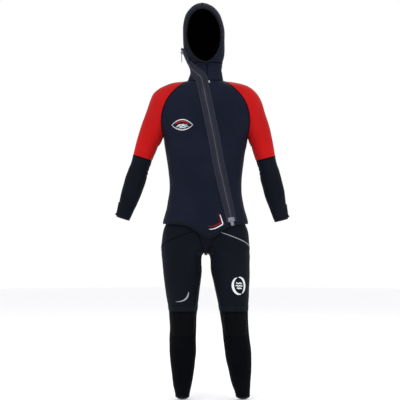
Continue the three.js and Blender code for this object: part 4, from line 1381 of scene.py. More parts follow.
@dataclass(frozen=True)
class SeamKit:
    """The sizes of a glued and blind-stitched seam."""

    half_width: float = 2.7
    rise: float = 0.85
    pitch: float = 4.4
    thread: float = 0.32
    crossing: float = 0.62  # share of the half width that the zigzag reaches
    thread_rise: float = 0.12  # its height above the ribbon
    stitch: float = 2.6
    gap: float = 0.9

    def sew(self, name: str, courses: list[Course], carrier: Carrier, finish: Finish = SEAM,
            thread: Finish = THREAD) -> list[bpy.types.Object]:
        """Makes the ribbon of a seam and the thread that crosses it."""
        ribbons = joined([course.band(self.half_width, self.rise) for course in courses])
        reach, height = self.half_width * self.crossing, self.rise + self.thread_rise
        stitches = joined([course.zigzag(reach, self.pitch, height, self.thread) for course in courses])
        return [
            fitted(name, ribbons, finish, carrier),
            fitted(f"{name}_thread", stitches, thread, carrier),
        ]

    def rows(self, name: str, course: Course, distances: tuple[float, ...], carrier: Carrier,
             lift: float = 0.3, thread: Finish = THREAD) -> bpy.types.Object:
        """Makes straight rows of stitches beside a course."""
        lines = joined([course.row(d, self.stitch, self.gap, lift, self.thread) for d in distances])
        return fitted(name, lines, thread, carrier)


SEAMS = SeamKit()


# ---- The suit's shapes with their folds ----------------------------------------------------------
class Wearing:
    """The shapes, their relief, and a skin for each panel family."""

    def __init__(self) -> None:
        """Lists the folds that a filled-out suit shows and makes the skins."""
        self.body, self.hood = BodyShape(), HoodShape()
        self.arms = {side: ArmShape(side) for side in Side}
        self.legs = {side: LegShape(side) for side in Side}
        relief = Relief(self._trunk_folds() + self._arm_folds() + self._leg_folds())
        self.relief = relief
        self.front = Skin(self.body.front, relief, (0.01, 0.035), (-1.0, 1.0), (0.0, 2.0))
        self.back = Skin(self.body.back, relief, (0.01, 0.035), (-1.0, 1.0), (0.0, 2.0))
        self.head = Skin(self.hood.surface, relief, (0.02, 0.02), (-1e9, 1e9), (0.0, 9.0))
        self.arm = {
            s: Skin(a.surface, relief, (0.02, 0.03), (-1e9, 1e9), (0.0, 13.0)) for s, a in self.arms.items()
        }
        self.leg = {
            s: Skin(g.surface, relief, (0.01, 1.0), (0.0, 4.0), (0.0, WAIST_Z)) for s, g in self.legs.items()
        }

    def _trunk_folds(self) -> list[Fold]:
        """Armpit diagonals, waist sides, small of the back and neck."""
        folds = []
        for sign in (-1.0, 1.0):
            for s0, l0, s1, l1, width, height in (
                (0.99, 0.98, 0.72, 1.3, 9.0, -1.7), (0.99, 0.9, 0.74, 1.12, 11.0, 1.2),
                (0.98, 0.44, 0.62, 0.4, 12.0, -1.2), (0.98, 0.53, 0.6, 0.5, 14.0, 1.1),
                (0.97, 0.1, 0.7, 0.2, 13.0, -1.1),
            ):
                folds.append(Fold(self.body.front, (sign * s0, l0), (sign * s1, l1), width, height))
            for s0, l0, s1, l1, width, height in (
                (0.98, 0.98, 0.6, 1.4, 10.0, -2.2), (0.96, 0.5, 0.2, 0.36, 15.0, -2.0),
                (0.9, 0.4, 0.12, 0.3, 15.0, 1.8), (0.98, 0.66, 0.5, 0.6, 14.0, -1.2),
            ):
                folds.append(Fold(self.body.back, (sign * s0, l0), (sign * s1, l1), width, height))
        folds.append(Fold(self.hood.surface, (-0.55, 1.5), (0.75, 1.45), 9.0, -3.4))
        folds.append(Fold(self.hood.surface, (-0.5, 1.85), (0.6, 1.85), 9.0, 1.6))
        for row, height in ((1.2, -1.6), (1.62, 1.0)):
            folds.append(Fold(self.hood.surface, (-2.6, row), (-1.3, row + 0.1), 7.0, height))
            folds.append(Fold(self.hood.surface, (1.1, row), (2.7, row - 0.1), 7.0, height))
        return folds

    def _arm_folds(self) -> list[Fold]:
        """Creases inside the elbows, under the arms and above the wrists."""
        folds = []
        for arm in self.arms.values():
            for rib, height in ((8.55, -1.4), (8.95, -2.4), (9.3, -1.7), (9.12, 1.1)):
                folds.append(Fold(arm.surface, (2.2, rib), (4.1, rib + 0.12), 6.5, height))
            for a, r0, b, r1, width, height in (
                (
                    2.7, 5.2, 1.6, 6.2, 10.0, -1.5
                ), (3.6, 5.0, 4.6, 6.3, 10.0, -1.6), (2.4, 6.7, 3.9, 6.9, 9.0, -1.2),
                (
                    0.6, 11.9, 2.6, 12.1, 7.0, -0.9
                ), (3.4, 12.2, 5.4, 12.0, 7.0, -0.9), (-0.8, 9.1, 0.9, 9.3, 12.0, 1.0),
                (0.3, 3.4, 1.3, 4.4, 13.0, -1.0),
            ):
                folds.append(Fold(arm.surface, (a, r0), (b, r1), width, height))
        return folds

    def _leg_folds(self) -> list[Fold]:
        """Creases round the crotch, seat, hips, knees and ankles."""
        folds = []
        for leg in self.legs.values():
            for t0, z0, t1, z1, width, height in (
                (
                    0.25, 652, 0.95, 704, 12, -1.4
                ), (0.2, 634, 0.8, 650, 11, -1.3), (0.3, 672, 1.2, 742, 14, 1.0),
                (
                    3.75, 640, 2.9, 618, 13, -2.2
                ), (3.7, 654, 2.8, 642, 15, 1.5), (3.2, 810, 2.3, 822, 14, -1.1),
                (
                    2.55, 300, 3.45, 305, 8, -2.3
                ), (2.5, 322, 3.5, 322, 8, 1.2), (2.55, 345, 3.45, 340, 8, -1.9),
                (2.1, 372, 3.0, 362, 10, -1.0), (0.4, 250, 1.6, 246, 11, -1.0), (0.3, 70, 1.7, 60, 9, -1.1),
                (2.3, 60, 3.7, 72, 9, -1.5), (2.4, 44, 3.6, 50, 8, 1.0), (2.2, 470, 3.2, 440, 16, -0.9),
            ):
                folds.append(Fold(leg.surface, (t0, float(z0)), (t1, float(z1)), float(width), height))
        return folds


# ---- Jacket --------------------------------------------------------------------------------------
@dataclass
class JacketBody:
    """Fronts, back and hem of the jacket, with the raglan and side seams."""

    wearing: Wearing
    rows: int = 150
    columns: int = 64
    hem_reach: float = 10.0
    hem_drop: float = 7.5
    side_near: float = 0.985  # place beside a side seam, towards the middle
    raglan_near: float = 0.965  # place beside a raglan seam, towards the middle

    def _front_grid(self, first: Array, last: Array, level: Array) -> tuple[Array, Array]:
        """Places of a front panel between two edges, evenly spread by angle."""
        share = spread(self.columns)[None, :]
        turn = lerp(
            np.arcsin(np.clip(first, -1, 1))[:, None], np.arcsin(np.clip(last, -1, 1))[:, None], share
        )
        return np.sin(turn), np.broadcast_to(level[:, None], turn.shape)

    def _levels(self) -> Array:
        """Levels from the hem to the neck, closer together near the armpits and the neck."""
        even = np.linspace(0.004, 2.0, self.rows)
        even = even[(even < 0.985) | (even > 1.05)]  # the armpit's short ledge gets a single row
        return np.unique(np.concatenate([even, [1.0, 1.985, 1.994]]))

    def build(self) -> None:
        """Makes every piece."""
        body, level = self.wearing.body, self._levels()
        middle = body.zip_place(level)
        half_gap = 1.4 / body.edge(level)[0]
        one = np.ones_like(level)
        seams = ["side_seams", "raglan_seam_right", "raglan_seam_left", "jacket_hem"]
        for name, first, last in (("right", -one, middle - half_gap), ("left", middle + half_gap, one)):
            u, v = self._front_grid(first, last, level)
            Panel(f"jacket_front_{name}", self.wearing.front, u, v).dress(
                NAVY, SUIT, "shell_navy", (f"torso_front_{name}",), [*seams, "main_zip_tapes"]
            )
        u, v = self._front_grid(-one, one, level)
        Panel("jacket_back", self.wearing.back, u, v).dress(NAVY, SUIT, "shell_navy", ("torso_back",), seams)
        self._hem()
        self._seams()

    def _hem(self) -> None:
        """The turned hem round the bottom of the jacket, with two rows of stitches."""
        turn = np.linspace(-np.pi / 2.0, np.pi / 2.0, 90)
        ahead, behind = np.sin(turn), np.sin(turn[-2:0:-1])
        front, front_out = self.wearing.front.frame(ahead, 0.0)
        back, back_out = self.wearing.back.frame(behind, 0.0)
        base = np.concatenate([front, back])
        outs = unit(np.concatenate([front_out, back_out]) * np.array([1.0, 1.0, 0.0]))
        down = np.broadcast_to(np.array([0.0, 0.0, -1.0]), base.shape)
        ring = hem_ring(base + down * self.hem_drop, down, -outs, self.hem_reach, WALL, 0.7)
        fitted("jacket_hem", ring, BINDING, SUIT, ("hem_band",))
        course = Course(base, outs, -down, down, True)
        SEAMS.rows("jacket_hem_stitches", course, (-3.0, -6.0), SUIT, 1.1)

    def _seams(self) -> None:
        """Side seams, and the raglan seam that runs right round the top of each sleeve."""
        body = self.wearing.body
        level = np.linspace(0.0, 1.0, 60)
        sides = []
        for sign in (-1.0, 1.0):
            points = self.wearing.front.frame(sign * np.ones_like(level), level)[0]
            ahead = self.wearing.front.frame(np.full_like(level, sign * self.side_near), level)
            behind = self.wearing.back.frame(np.full_like(level, sign * self.side_near), level)
            sides.append(between(points, ahead, behind))
        SEAMS.sew("side_seams", sides, SUIT)
        for side in Side:
            sign = side.value
            angle = np.linspace(-np.pi, np.pi, 140, endpoint=False) + np.pi / 140.0
            arm = self.wearing.arm[side]
            points, outs = arm.frame(angle, np.zeros_like(angle))
            on_arm = arm.frame(angle, np.full_like(angle, 0.12))
            level = 2.0 - np.abs(angle) / np.pi
            ahead = self.wearing.front.frame(np.full_like(angle, sign * self.raglan_near), level)
            behind = self.wearing.back.frame(np.full_like(angle, sign * self.raglan_near), level)
            on_body = tuple(np.where((angle > 0.0)[:, None], a, b) for a, b in zip(ahead, behind))
            course = between(points, on_arm, on_body, closed=True)
            SEAMS.sew(f"raglan_seam_{side.label}", [course], SUIT)
            SEAMS.rows(f"raglan_red_stitches_{side.label}", course, (5.2,), SUIT, 0.3, RED_THREAD)


@dataclass
class Sleeve:
    """One sleeve: a red upper panel, a black forearm from the elbow seam down, and a turned cuff."""

    wearing: Wearing
    side: Side
    hinge: tuple[float, float, float]
    lean: float
    around: int = 72
    bend_reach: float = 0.05
    seam_rib: float = 8.0
    end_rib: float = 12.9
    cuff_rib: float = 12.98
    above_cuff_rib: float = 12.6
    stitch_rib: float = 12.82

    def __post_init__(self) -> None:
        """Finds the bodies it rides on."""
        sign = self.side.value
        way = np.array([sign * math.sin(self.lean), 0.0, -math.cos(self.lean)]) * self.bend_reach
        hinge = np.array(self.hinge)
        self.forearm = f"forearm_{self.side.label}"
        self.elbow = Carrier("suit", self.forearm, tuple(hinge - way), tuple(hinge + way))
        self.skin = self.wearing.arm[self.side]

    def _panel(self, name: str, first: float, last: float, rows: int) -> Panel:
        """A tube of the sleeve between two ribs, its seam under the arm."""
        angle = np.linspace(-np.pi, np.pi, self.around, endpoint=False)[None, :]
        rib = lerp(first, last, spread(rows))[:, None]
        u, v = np.broadcast_arrays(angle, rib)
        return Panel(name, self.skin, u, v, ring=True)

    def _ring(self, rib: float) -> Course:
        """A course round the arm."""
        angle = np.linspace(-np.pi, np.pi, 96, endpoint=False)
        return Course.on(self.skin, angle, np.full_like(angle, rib), closed=True)

    def build(self) -> None:
        """Makes every piece of the sleeve."""
        name = self.side.label
        seams = [f"raglan_seam_{name}", f"elbow_seam_{name}", f"underarm_seam_{name}"]
        self._panel(f"upper_sleeve_{name}", 0.0, self.seam_rib, 120).dress(
            RED, SUIT, "shell_red", (f"sleeve_upper_{name}",), seams
        )
        self._panel(f"lower_sleeve_{name}", self.seam_rib, self.end_rib, 140).dress(
            BLACK, self.elbow, "shell_black", (f"elbow_{name}", f"forearm_{name}"), [seams[1], f"cuff_{name}"]
        )
        SEAMS.sew(f"elbow_seam_{name}", [self._ring(self.seam_rib)], SUIT)
        rib = np.linspace(0.15, self.seam_rib - 0.1, 120)
        SEAMS.sew(f"underarm_seam_{name}", [Course.on(self.skin, np.full_like(rib, np.pi), rib)], SUIT,
                  RED_SEAM, RED_THREAD)
        rib = np.linspace(self.seam_rib + 0.1, self.above_cuff_rib, 110)
        SEAMS.sew(f"forearm_seam_{name}", [Course.on(self.skin, np.full_like(rib, np.pi), rib)], self.elbow)
        ring, above = self._ring(self.cuff_rib), self._ring(self.above_cuff_rib)
        down = unit(ring.points - above.points)
        cuff = hem_ring(ring.points, down, -ring.normals, 9.5, WALL, 0.6)
        hand = Carrier(self.forearm)
        fitted(f"cuff_{name}", cuff, BINDING, hand, (f"cuff_hem_{name}",))
        SEAMS.rows(f"cuff_stitches_{name}", self._ring(self.stitch_rib), (1.2, -1.6), hand, 1.0)


@dataclass
class Hood:
    """Collar, hood halves and the rolled rim of the face opening."""

    wearing: Wearing
    rim_out: float = 8.0
    rim_in: float = 9.0

    def build(self) -> None:
        """Makes every piece."""
        skin = self.wearing.head
        turn = np.linspace(-np.pi, np.pi, 110, endpoint=False)[None, :]
        u, v = np.broadcast_arrays(turn, lerp(0.0, 2.0, spread(44))[:, None])
        Panel("neck_collar", skin, u, v, ring=True).dress(
            NAVY, SUIT, "shell_navy", ("collar",), ["neck_seam", "hood_neck_seam"]
        )
        for side in Side:
            self._half(side)
        self._rim()
        self._seams()

    def _rows(self) -> Array:
        """Rows from the neck seam to the crown, following the curve of the face opening."""
        shape = self.wearing.hood
        turn = np.linspace(np.pi, 0.0, 84)
        tall = np.where(np.cos(turn) > 0.0, shape.FACE_UP, shape.FACE_DOWN)
        face = shape.row_at(shape.FACE_MIDDLE[1] + tall * np.cos(turn))
        crown = 9.0 - (9.0 - face.max() - 0.02) * np.linspace(1.0, 0.0, 30) ** 1.3
        return np.unique(np.concatenate([[2.0, 2.02], face, crown]))

    def _half(self, side: Side) -> None:
        """One half of the hood, from the face opening to the middle of the back."""
        rows = self._rows()
        edge = np.nan_to_num(self.wearing.hood.face_turn(rows))
        u = side.value * lerp(edge[:, None], np.pi, spread(56)[None, :])
        v = np.broadcast_to(rows[:, None], u.shape)
        pinched = (False, True, True, False)  # neither at the face opening nor at the crown
        Panel(f"hood_panel_{side.label}", self.wearing.head, u, v, weld=True, pinched=pinched).dress(
            NAVY, SUIT, "shell_navy", (f"hood_{side.label}",), [
                "hood_neck_seam", "hood_centre_seams", "face_rim"
            ]
        )

    def _rim(self) -> None:
        """The rolled binding: a strip that goes over the edge of the opening and into the hood."""
        shape, skin = self.wearing.hood, self.wearing.head
        around = np.linspace(0.0, 2.0 * np.pi, 180, endpoint=False) + np.pi / 180.0
        turn, row = shape.face_edge(around)
        course = Course.on(skin, turn, row, closed=True).every(4.0)
        centre = course.points.mean(axis=0)
        away = course.left * np.where(dot(course.left, course.points - centre) > 0.0, 1.0, -1.0)
        profile = [
            (self.rim_out, -0.2), (self.rim_out - 0.5, 1.0), (5.0, 1.35), (2.0, 1.5), (-0.4, 1.2),
            (-1.8, -0.2), (-2.3, -2.6), (-1.9, -5.2), (-0.4, -6.6), (3.0, -6.9),
            (self.rim_in, -6.6), (self.rim_in, -5.1), (1.0, -4.9), (0.2, -2.4), (1.0, -0.5),
        ]
        rows = [course.points + away * out + course.normals * up for out, up in profile]
        rim = swept(np.stack(rows, axis=1), True)
        fitted("face_rim", rim, BINDING, SUIT, ("face_seal",))
        outer = Course(course.points + away * 6.3, course.normals, away, -away, True)
        SEAMS.rows("face_rim_stitches", outer, (0.1, 3.6), SUIT, 1.4)

    def _seams(self) -> None:
        """Rings at the neck, and the seams up the back, over the crown and down the chin."""
        skin = self.wearing.head
        turn = np.linspace(-np.pi, np.pi, 120, endpoint=False)
        for name, row in (("neck_seam", 0.0), ("hood_neck_seam", 2.0)):
            ring = Course.on(skin, turn, np.full_like(turn, row), closed=True)
            SEAMS.sew(name, [ring], SUIT)
        back = np.linspace(2.08, 8.5, 120)
        brow = np.linspace(7.05, 8.5, 24)
        centre = [
            Course.on(skin, np.full_like(back, np.pi), back), Course.on(skin, np.zeros_like(brow), brow)
        ]
        SEAMS.sew("hood_centre_seams", centre, SUIT)
        chin = np.linspace(0.06, 1.94, 40)
        SEAMS.sew("chin_seam", [Course.on(skin, np.full_like(chin, 0.06), chin)], SUIT)


# ---- Zips ----------------------------------------------------------------------------------------
class ZipLine:
    """The curved line of the main zip over jacket, neck and hood, as stations along it."""

    LEVELS = (0.03, 0.15, 0.3, 0.45, 0.6, 0.75, 0.9, 1.1, 1.3, 1.5, 1.7, 1.85, 1.96)
    NECK = ((0.35, -0.3), (0.8, -0.66), (1.25, -0.98))  # row and turn
    TOP = ((2.05, -1.24), (3.42, -1.42))  # ends of the straight stretch beside the hood
    SHARES = (0.0, 0.33, 0.67, 1.0)
    STRAIGHT_LIFT = 4.5
    NECK_STATION = 12.0
    LIFT = 1.0

    def __init__(self, wearing: Wearing) -> None:
        """Works out each station's place, normal and bend."""
        self.wearing = wearing
        body, hood = wearing.body, wearing.hood
        rows = [
            self._station(body.front, float(body.zip_place(np.array(v))), v, 0.1, 0.02) for v in self.LEVELS
        ]
        rows += [self._station(hood.surface, turn, row, 0.3, 0.1) for row, turn in self.NECK]
        low, high = (self._station(hood.surface, turn, row, 0.3, 0.1) for row, turn in self.TOP)
        normal = unit(low[1] + high[1])
        for share in self.SHARES:
            rows.append(
                (lerp(low[0], high[0], share) + normal * self.STRAIGHT_LIFT, normal, (low[2] + high[2]) / 2.0)
            )
        self.last = len(rows) - 1.0
        self.straight = self.last - 3.0
        self.ends = rows[int(self.straight)][0], rows[-1][0]
        self.curve = RowCurve([(float(k), *p, *n, 1.0 / r) for k, (p, n, r) in enumerate(rows)])

    @staticmethod
    def _station(
        surface: Surface, u: float, v: float, across: float, upwards: float
    ) -> tuple[Array, Array, float]:
        """Place, normal and radius of a surface where the zip crosses it."""
        p, ahead, behind = (surface(u + d, v)[0] for d in (0.0, across, -across))
        above = surface(u, v + upwards)[0] - surface(u, v - upwards)[0]
        normal = unit(np.cross(ahead - behind, above))
        sag = float(dot(p - (ahead + behind) / 2.0, normal)[0])
        return p, normal, float(((ahead - behind) ** 2).sum()) / (8.0 * max(sag, 0.4))

    def _middle(self, k: Array) -> Array:
        """Middle of the zip: a smooth curve, then a straight stretch."""
        share = ((k - self.straight) / (self.last - self.straight))[..., None]
        return np.where(share > 0.0, lerp(self.ends[0], self.ends[1], share), self.curve(k)[..., :3])

    def frame(self, k: Array) -> tuple[Array, Array, Array, Array, Array]:
        """Middle, and directions up the zip, out of it and across it, and its bend, at stations."""
        k = np.asarray(k, float)
        up = unit(self._middle(np.minimum(k + 0.05, self.last)) - self._middle(np.maximum(k - 0.05, 0.0)))
        rows = self.curve(k)
        out = unit(rows[..., 3:6] - up * dot(rows[..., 3:6], up))
        return self._middle(k), up, out, np.cross(up, out), rows[..., 6:7]

    def _settled(self, place: Array) -> Array:
        """The point of the jacket, neck or hood at the height and x of another point."""
        body, hood = self.wearing.body, self.wearing.hood
        row = hood.row_at(place[..., 2])
        _, middle, half_width, depth, _ = np.moveaxis(hood.rows(row), -1, 0)
        turn = np.arctan2((place[..., 0] - middle) / half_width, -place[..., 1] / depth)
        low = body.front(*body.at(place[..., 0], place[..., 2]))[0]
        return np.where(place[..., 2:] > NECK_SEAM_Z, hood.surface(turn, row)[0], low)

    def surface(self, offset: Array, k: Array, height: Array) -> tuple[Array, Array]:
        """Points and normals at distances across the zip and heights above the panels."""
        offset, k, height = np.broadcast_arrays(offset, k, height)
        middle, _, out, across, bend = self.frame(k)
        angle = offset[..., None] * bend
        place = middle + across * np.sin(angle) / bend + out * (np.cos(angle) - 1.0) / bend
        outwards = out * np.cos(angle) + across * np.sin(angle)
        rest = np.where((k < self.straight)[..., None], self._settled(place), place)
        rise = height + ease((k - self.NECK_STATION) / 2.0) + self.wearing.relief.height(rest)
        return rest + outwards * rise[..., None], outwards

    def seat(self, k: float, along: float = 0.0, height: float = 0.0) -> Seat:
        """A seat on the zip: X across, Y up the zip and Z out of it, above the lift of the tape."""
        middle, up, out, across, _ = self.frame(np.array(k))
        lift = self.LIFT + float(ease(np.array((k - self.NECK_STATION) / 2.0))) + height
        return Seat(middle + up * along + out * lift, across, up, out)

    def stations(self, spacing: float) -> Array:
        """Stations an even distance apart along the zip."""
        k = np.linspace(0.0, self.last, 800)
        lengths = travelled(self._middle(k))
        return np.interp(np.arange(spacing / 2.0, lengths[-1], spacing), lengths, k)


def tooth(reach: float, length: float, height: float, floor: float, side: float) -> Shape:
    """A moulded tooth: a bevelled block with a rounded head that reaches past the middle.

    Args:
        reach: how far it spans across the zip.
        length: its size along the zip.
        height: its height.
        floor: height of its foot.
        side: -1 or 1 for the side of the zip that it grips.
    """
    shape, faces = rounded_block((length, reach, height), 0.5, (0.0, 0.0, floor + height / 2.0), 0.12)
    points = shape.reshape(-1, 3)
    turned = np.stack([side * (reach / 2.0 - 1.2 - points[:, 1]), points[:, 0], points[:, 2]], axis=-1)
    if signed_volume(turned, faces) < 0.0:
        faces = [group[:, ::-1] for group in faces]
    return turned, faces


@dataclass
class MainZip:
    """The diagonal zip: two tapes, a moulded chain, foot box, end film, top stop, slider and pull."""

    wearing: Wearing
    tape: float = 26.0
    cord: float = 3.6
    tape_thick: float = 1.6
    pitch: float = 4.2
    chain_half: float = 3.2
    chain_height: float = 4.5
    slider_length: float = 20.0
    wall: float = 2.2
    clear: float = 0.5
    bail_height: float = 7.0
    pull_size: tuple[float, float, float] = (9.0, 46.0, 2.2)
    flap_half: float = 34.0
    ribs: int = 7  # on the pull
    ROWS = (8.2, 23.0)  # places of the stitches across each tape

    def build(self) -> None:
        """Makes every piece."""
        self.line = ZipLine(self.wearing)
        self._tapes()
        self._chain()
        self._ends()
        self._flap()
        self._slider()

    def _tapes(self) -> None:
        """Woven tapes with a thick welt at the teeth, and their rows of stitches."""
        line = self.line
        k = np.linspace(0.0, line.last, 260)[:, None]
        shapes, threads = [], []
        offset = np.array([self.cord, 4.0, 5.2, 6.0, 10.0, 16.0, 21.0, 24.6, 25.6, self.tape])
        rise = np.array([0.9, 1.2, 1.2, 0.1, 0.0, 0.0, 0.0, 0.0, -0.25, -0.6]) + line.LIFT + self.tape_thick
        for sign in (-1.0, 1.0):
            top, outs = line.surface(offset[None, :] * sign, k, rise[None, :])
            shapes.append(slab(top, outs, self.tape_thick * 0.9))
            for place in self.ROWS:
                points, normals = line.surface(sign * place, k[:, 0], line.LIFT + self.tape_thick)
                side = unit(np.cross(normals, np.gradient(points, axis=0)))
                threads.append(Course(points, normals, side, -side).row(0.01, 2.8, 1.0, 0.2, 0.34))
        fitted("main_zip_tapes", joined(shapes), TAPE, SUIT, ("zip_tape_right", "zip_tape_left"))
        fitted("main_zip_stitches", joined(threads), TAPE_THREAD, SUIT)

    def _chain(self) -> None:
        """Two rows of teeth, a half pitch apart, on a thin web."""
        line = self.line
        parts = []
        for sign in (-1.0, 1.0):
            stations = line.stations(self.pitch)
            shift = 0.0 if sign < 0.0 else self.pitch / 2.0
            shape = tooth(self.chain_half + 1.3, self.pitch * 0.44, 3.4, 0.6, sign)
            for k in stations[:-1]:
                seat = line.seat(float(k), shift)
                seat.origin = seat.origin + seat.out * float(self.wearing.relief.height(seat.origin[None])[0])
                parts.append(seat.place(shape))
        k = np.linspace(0.0, line.last, 200)[:, None]
        web, outs = line.surface(
            np.array([-self.chain_half, 0.0, self.chain_half])[None, :], k, line.LIFT + 1.7
        )
        parts.append(slab(web, outs, 1.2))
        dressed(
            solid("main_zip_teeth", joined(parts), smooth=False), TEETH, SUIT, ("zip_chain",)
        )

    def _ends(self) -> None:
        """Foot box with its pin, the film that stiffens the tape's end, and the top stop."""
        line = self.line
        foot = line.seat(0.0, -9.35)
        box = [
            rounded_block((15.0, 18.0, 5.5), 1.3, (0.0, 0.0, 2.75)),
            rounded_block((10.0, 11.0, 0.9), 0.4, (0.0, -1.0, 5.7)),
            rounded_block((2.6, 12.0, 2.4), 0.7, (-4.6, 9.0, 4.2)),
        ]
        box_piece = fitted("zip_box", foot.group(box), METAL, SUIT, ("zip_foot_box",))
        box_piece.data.shade_smooth()
        k = np.linspace(0.0, 0.42, 12)[:, None]
        offset = np.array([-16.0, -12.0, -8.0, -4.2, 0.0, 4.2, 8.0, 12.0, 16.0])
        rise = np.array([0.3, 0.5, 0.5, 1.6, 2.6, 1.6, 0.5, 0.5, 0.3]) + line.LIFT + self.tape_thick
        top, outs = line.surface(offset[None, :], k, rise[None, :])
        fitted("zip_end_film", slab(top, outs, 0.6), END_FILM, SUIT)
        stop = line.seat(line.last, 3.35)
        blocks = [
            rounded_block((self.tape, 6.0, 5.6), 1.4, (0.0, 0.0, 3.0)),
            rounded_block((18.0, 1.2, 1.0), 0.3, (0.0, 0.0, 6.0)),
        ]
        fitted("zip_stop", stop.group(blocks), TEETH, SUIT, ("zip_top_stop",))

    def _flap(self) -> None:
        """The flap of thin neoprene behind the zip."""
        body, skin = self.wearing.body, self.wearing.front
        level = np.linspace(0.02, 1.84, 90)[:, None]
        share = np.linspace(-1.0, 1.0, 13)[None, :]
        s = body.zip_place(level) + share * self.flap_half / body.edge(level)[0]
        points, normals = skin.frame(s, np.broadcast_to(level, s.shape))
        flap = slab(points - normals * (WALL + 0.7), normals, 2.5)
        # The flap takes the near-black lining, which also paints the shade behind the zip.
        fitted("backing_flap", flap, LINING_PAINTED_SHADE, SUIT, ("zip_backing_flap",))

    def _slider(self) -> None:
        """The slider, its bail and its pull, at the top of the chain."""
        line = self.line
        seat = line.seat(line.last, -self.slider_length / 2.0 - 1.0)
        inner = self.chain_half + self.clear
        ceiling = self.chain_height + self.clear
        roof = ceiling + self.wall
        width = 2.0 * (inner + self.wall)
        foot = self.tape_thick + self.clear
        parts = [
            rounded_block((width, self.slider_length, self.wall), 0.9, (0.0, 0.0, ceiling + self.wall / 2.0))
        ]
        for sign in (-1.0, 1.0):
            parts.append(rounded_block((self.wall, self.slider_length, roof - foot), 0.8,
                                       (sign * (inner + self.wall / 2.0), 0.0, (roof + foot) / 2.0)))
        parts.append(rounded_block((4.0, 14.0, 0.8), 0.35, (0.0, 0.0, roof + 0.1)))
        body = Carrier("zip_slider")
        fitted("slider", seat.group(parts), METAL, body, ("zip_slider",))
        turn = np.linspace(0.0, np.pi, 24)
        arch = vec(
            np.zeros(24), -5.0 * np.cos(turn), roof + 0.35 + (self.bail_height - 1.3) * np.sin(turn) ** 0.6
        )
        bail = tube(arch, np.broadcast_to(np.array([1.0, 0.0, 0.0]), arch.shape), 1.1, 10)
        fitted("bail", seat.place(bail), METAL, body, ("zip_bail",))
        self._pull(seat, roof + 0.35 + (self.bail_height - 2.0) / 2.0)

    def _pull(self, seat: Seat, height: float) -> None:
        """The pull hangs straight down: a pin, two arms and a ribbed paddle."""
        width, length, thick = self.pull_size
        down = np.array([0.0, 0.0, -1.0])
        down = unit(down - seat.across * float(dot(down, seat.across)[0]))
        hang = Seat(seat.origin + seat.out * height, seat.across, -down, np.cross(seat.across, -down))
        parts = [rounded_block((width, thick, thick), 0.9, (0.0, 0.0, 0.0))]
        for sign in (-1.0, 1.0):
            parts.append(rounded_block((1.9, 11.0, thick), 0.8, (sign * (width / 2.0 - 0.95), -5.0, 0.0)))
        paddle = length - 10.0
        parts.append(rounded_block((width, paddle, thick), 1.0, (0.0, -10.0 - paddle / 2.0 + 1.1, 0.0)))
        for i in range(self.ribs):
            parts.append(rounded_block((width - 2.4, 1.5, 0.7), 0.3, (0.0, -18.0 - 3.4 * i, thick / 2.0)))
        shape = hang.group(parts)
        fitted("pull_tab", shape, METAL, Carrier("zip_pull"), ("zip_pull",))


@dataclass
class WristZip:
    """The short zip at the outer side of a wrist, with its own slider."""

    wearing: Wearing
    side: Side
    ribs: tuple[float, float] = (11.55, 12.8)
    tape: float = 8.0
    lift: float = 0.9
    pitch: float = 2.6
    wrist_radius: float = 31.0
    welt_spill: float = 1.6  # how far the welt reaches past the tape on each side
    welt_sink: float = 0.6

    def build(self) -> None:
        """Makes the strip and the slider."""
        name = self.side.label
        ends = [self.wearing.arms[self.side].surface(0.0, rib)[0] for rib in self.ribs]
        down = unit(ends[1] - ends[0])
        length = float(np.linalg.norm(ends[1] - ends[0]))
        out = unit(np.cross(np.array([0.0, 1.0, 0.0]), down) * -self.side.value)
        across = np.cross(down, out)
        seat = Seat((ends[0] + ends[1]) / 2.0 + out * self.lift, across, down, out)
        parts = [rounded_block((2.0 * self.tape, length, 1.5), 0.6, (0.0, 0.0, 0.8))]
        for place in (-6.2, -3.4, 6.2, 3.4):
            parts.append(rounded_block((0.7, length - 3.0, 0.5), 0.2, (place, 0.0, 1.6)))
        hand = Carrier(f"forearm_{name}")
        strip = solid(f"wrist_tape_{name}", seat.group(parts))
        dressed(strip, TAPE, hand, (f"wrist_zip_{name}",))
        self._welt(ends, seat, hand)
        seats = []
        for i in range(int((length - 4.0) / self.pitch)):
            place = -length / 2.0 + 2.6 + i * self.pitch
            seats.append(Seat(seat.origin + down * place, across, down, out))
        teeth = [stamped(tooth(2.6, 1.2, 2.0, 1.1, grip), seats[i::2]) for i, grip in enumerate((1.0, -1.0))]
        dressed(solid(f"wrist_teeth_{name}", joined(teeth), smooth=False), WRIST_TEETH, hand)
        low = length / 2.0 - 5.5
        plates = [rounded_block((8.0, 9.0, 1.6), 0.7, (0.0, low, 4.5))]
        plates += [rounded_block((1.5, 9.0, 3.2), 0.6, (side, low, 3.7)) for side in (3.25, -3.25)]
        plates.append(rounded_block((2.2, 6.0, 1.2), 0.5, (0.0, low, 5.5)))
        slider = solid(f"wrist_pull_{name}", seat.group(plates))
        dressed(slider, DARK_METAL, Carrier(f"wrist_slider_{name}"), (f"wrist_slider_{name}",))

    def _welt(self, ends: list[Array], seat: Seat, hand: Carrier) -> None:
        """A raised strip of neoprene that fills the hollow of the wrist under the straight tape."""
        share = np.linspace(0.01, 0.99, 30)
        reach = np.arcsin((self.tape + self.welt_spill) / self.wrist_radius)
        chord = lerp(ends[0], ends[1], share[:, None]) + seat.out * (self.lift - 0.1)
        top = [chord + seat.across * (sign * (self.tape - 0.4)) for sign in (-1.0, 1.0)]
        ribs, skin = lerp(*self.ribs, share), self.wearing.arm[self.side]
        feet = [skin.frame(np.full_like(ribs, sign * reach), ribs) for sign in (-1.0, 1.0)]
        low = [points - normals * self.welt_sink for points, normals in feet]
        if dot(low[0][0] - low[1][0], seat.across)[0] < 0.0:
            low = low[::-1]
        welt = swept(np.stack([top[0], top[1], low[0], low[1]], axis=1))
        fitted(f"wrist_welt_{self.side.label}", welt, BLACK, hand)


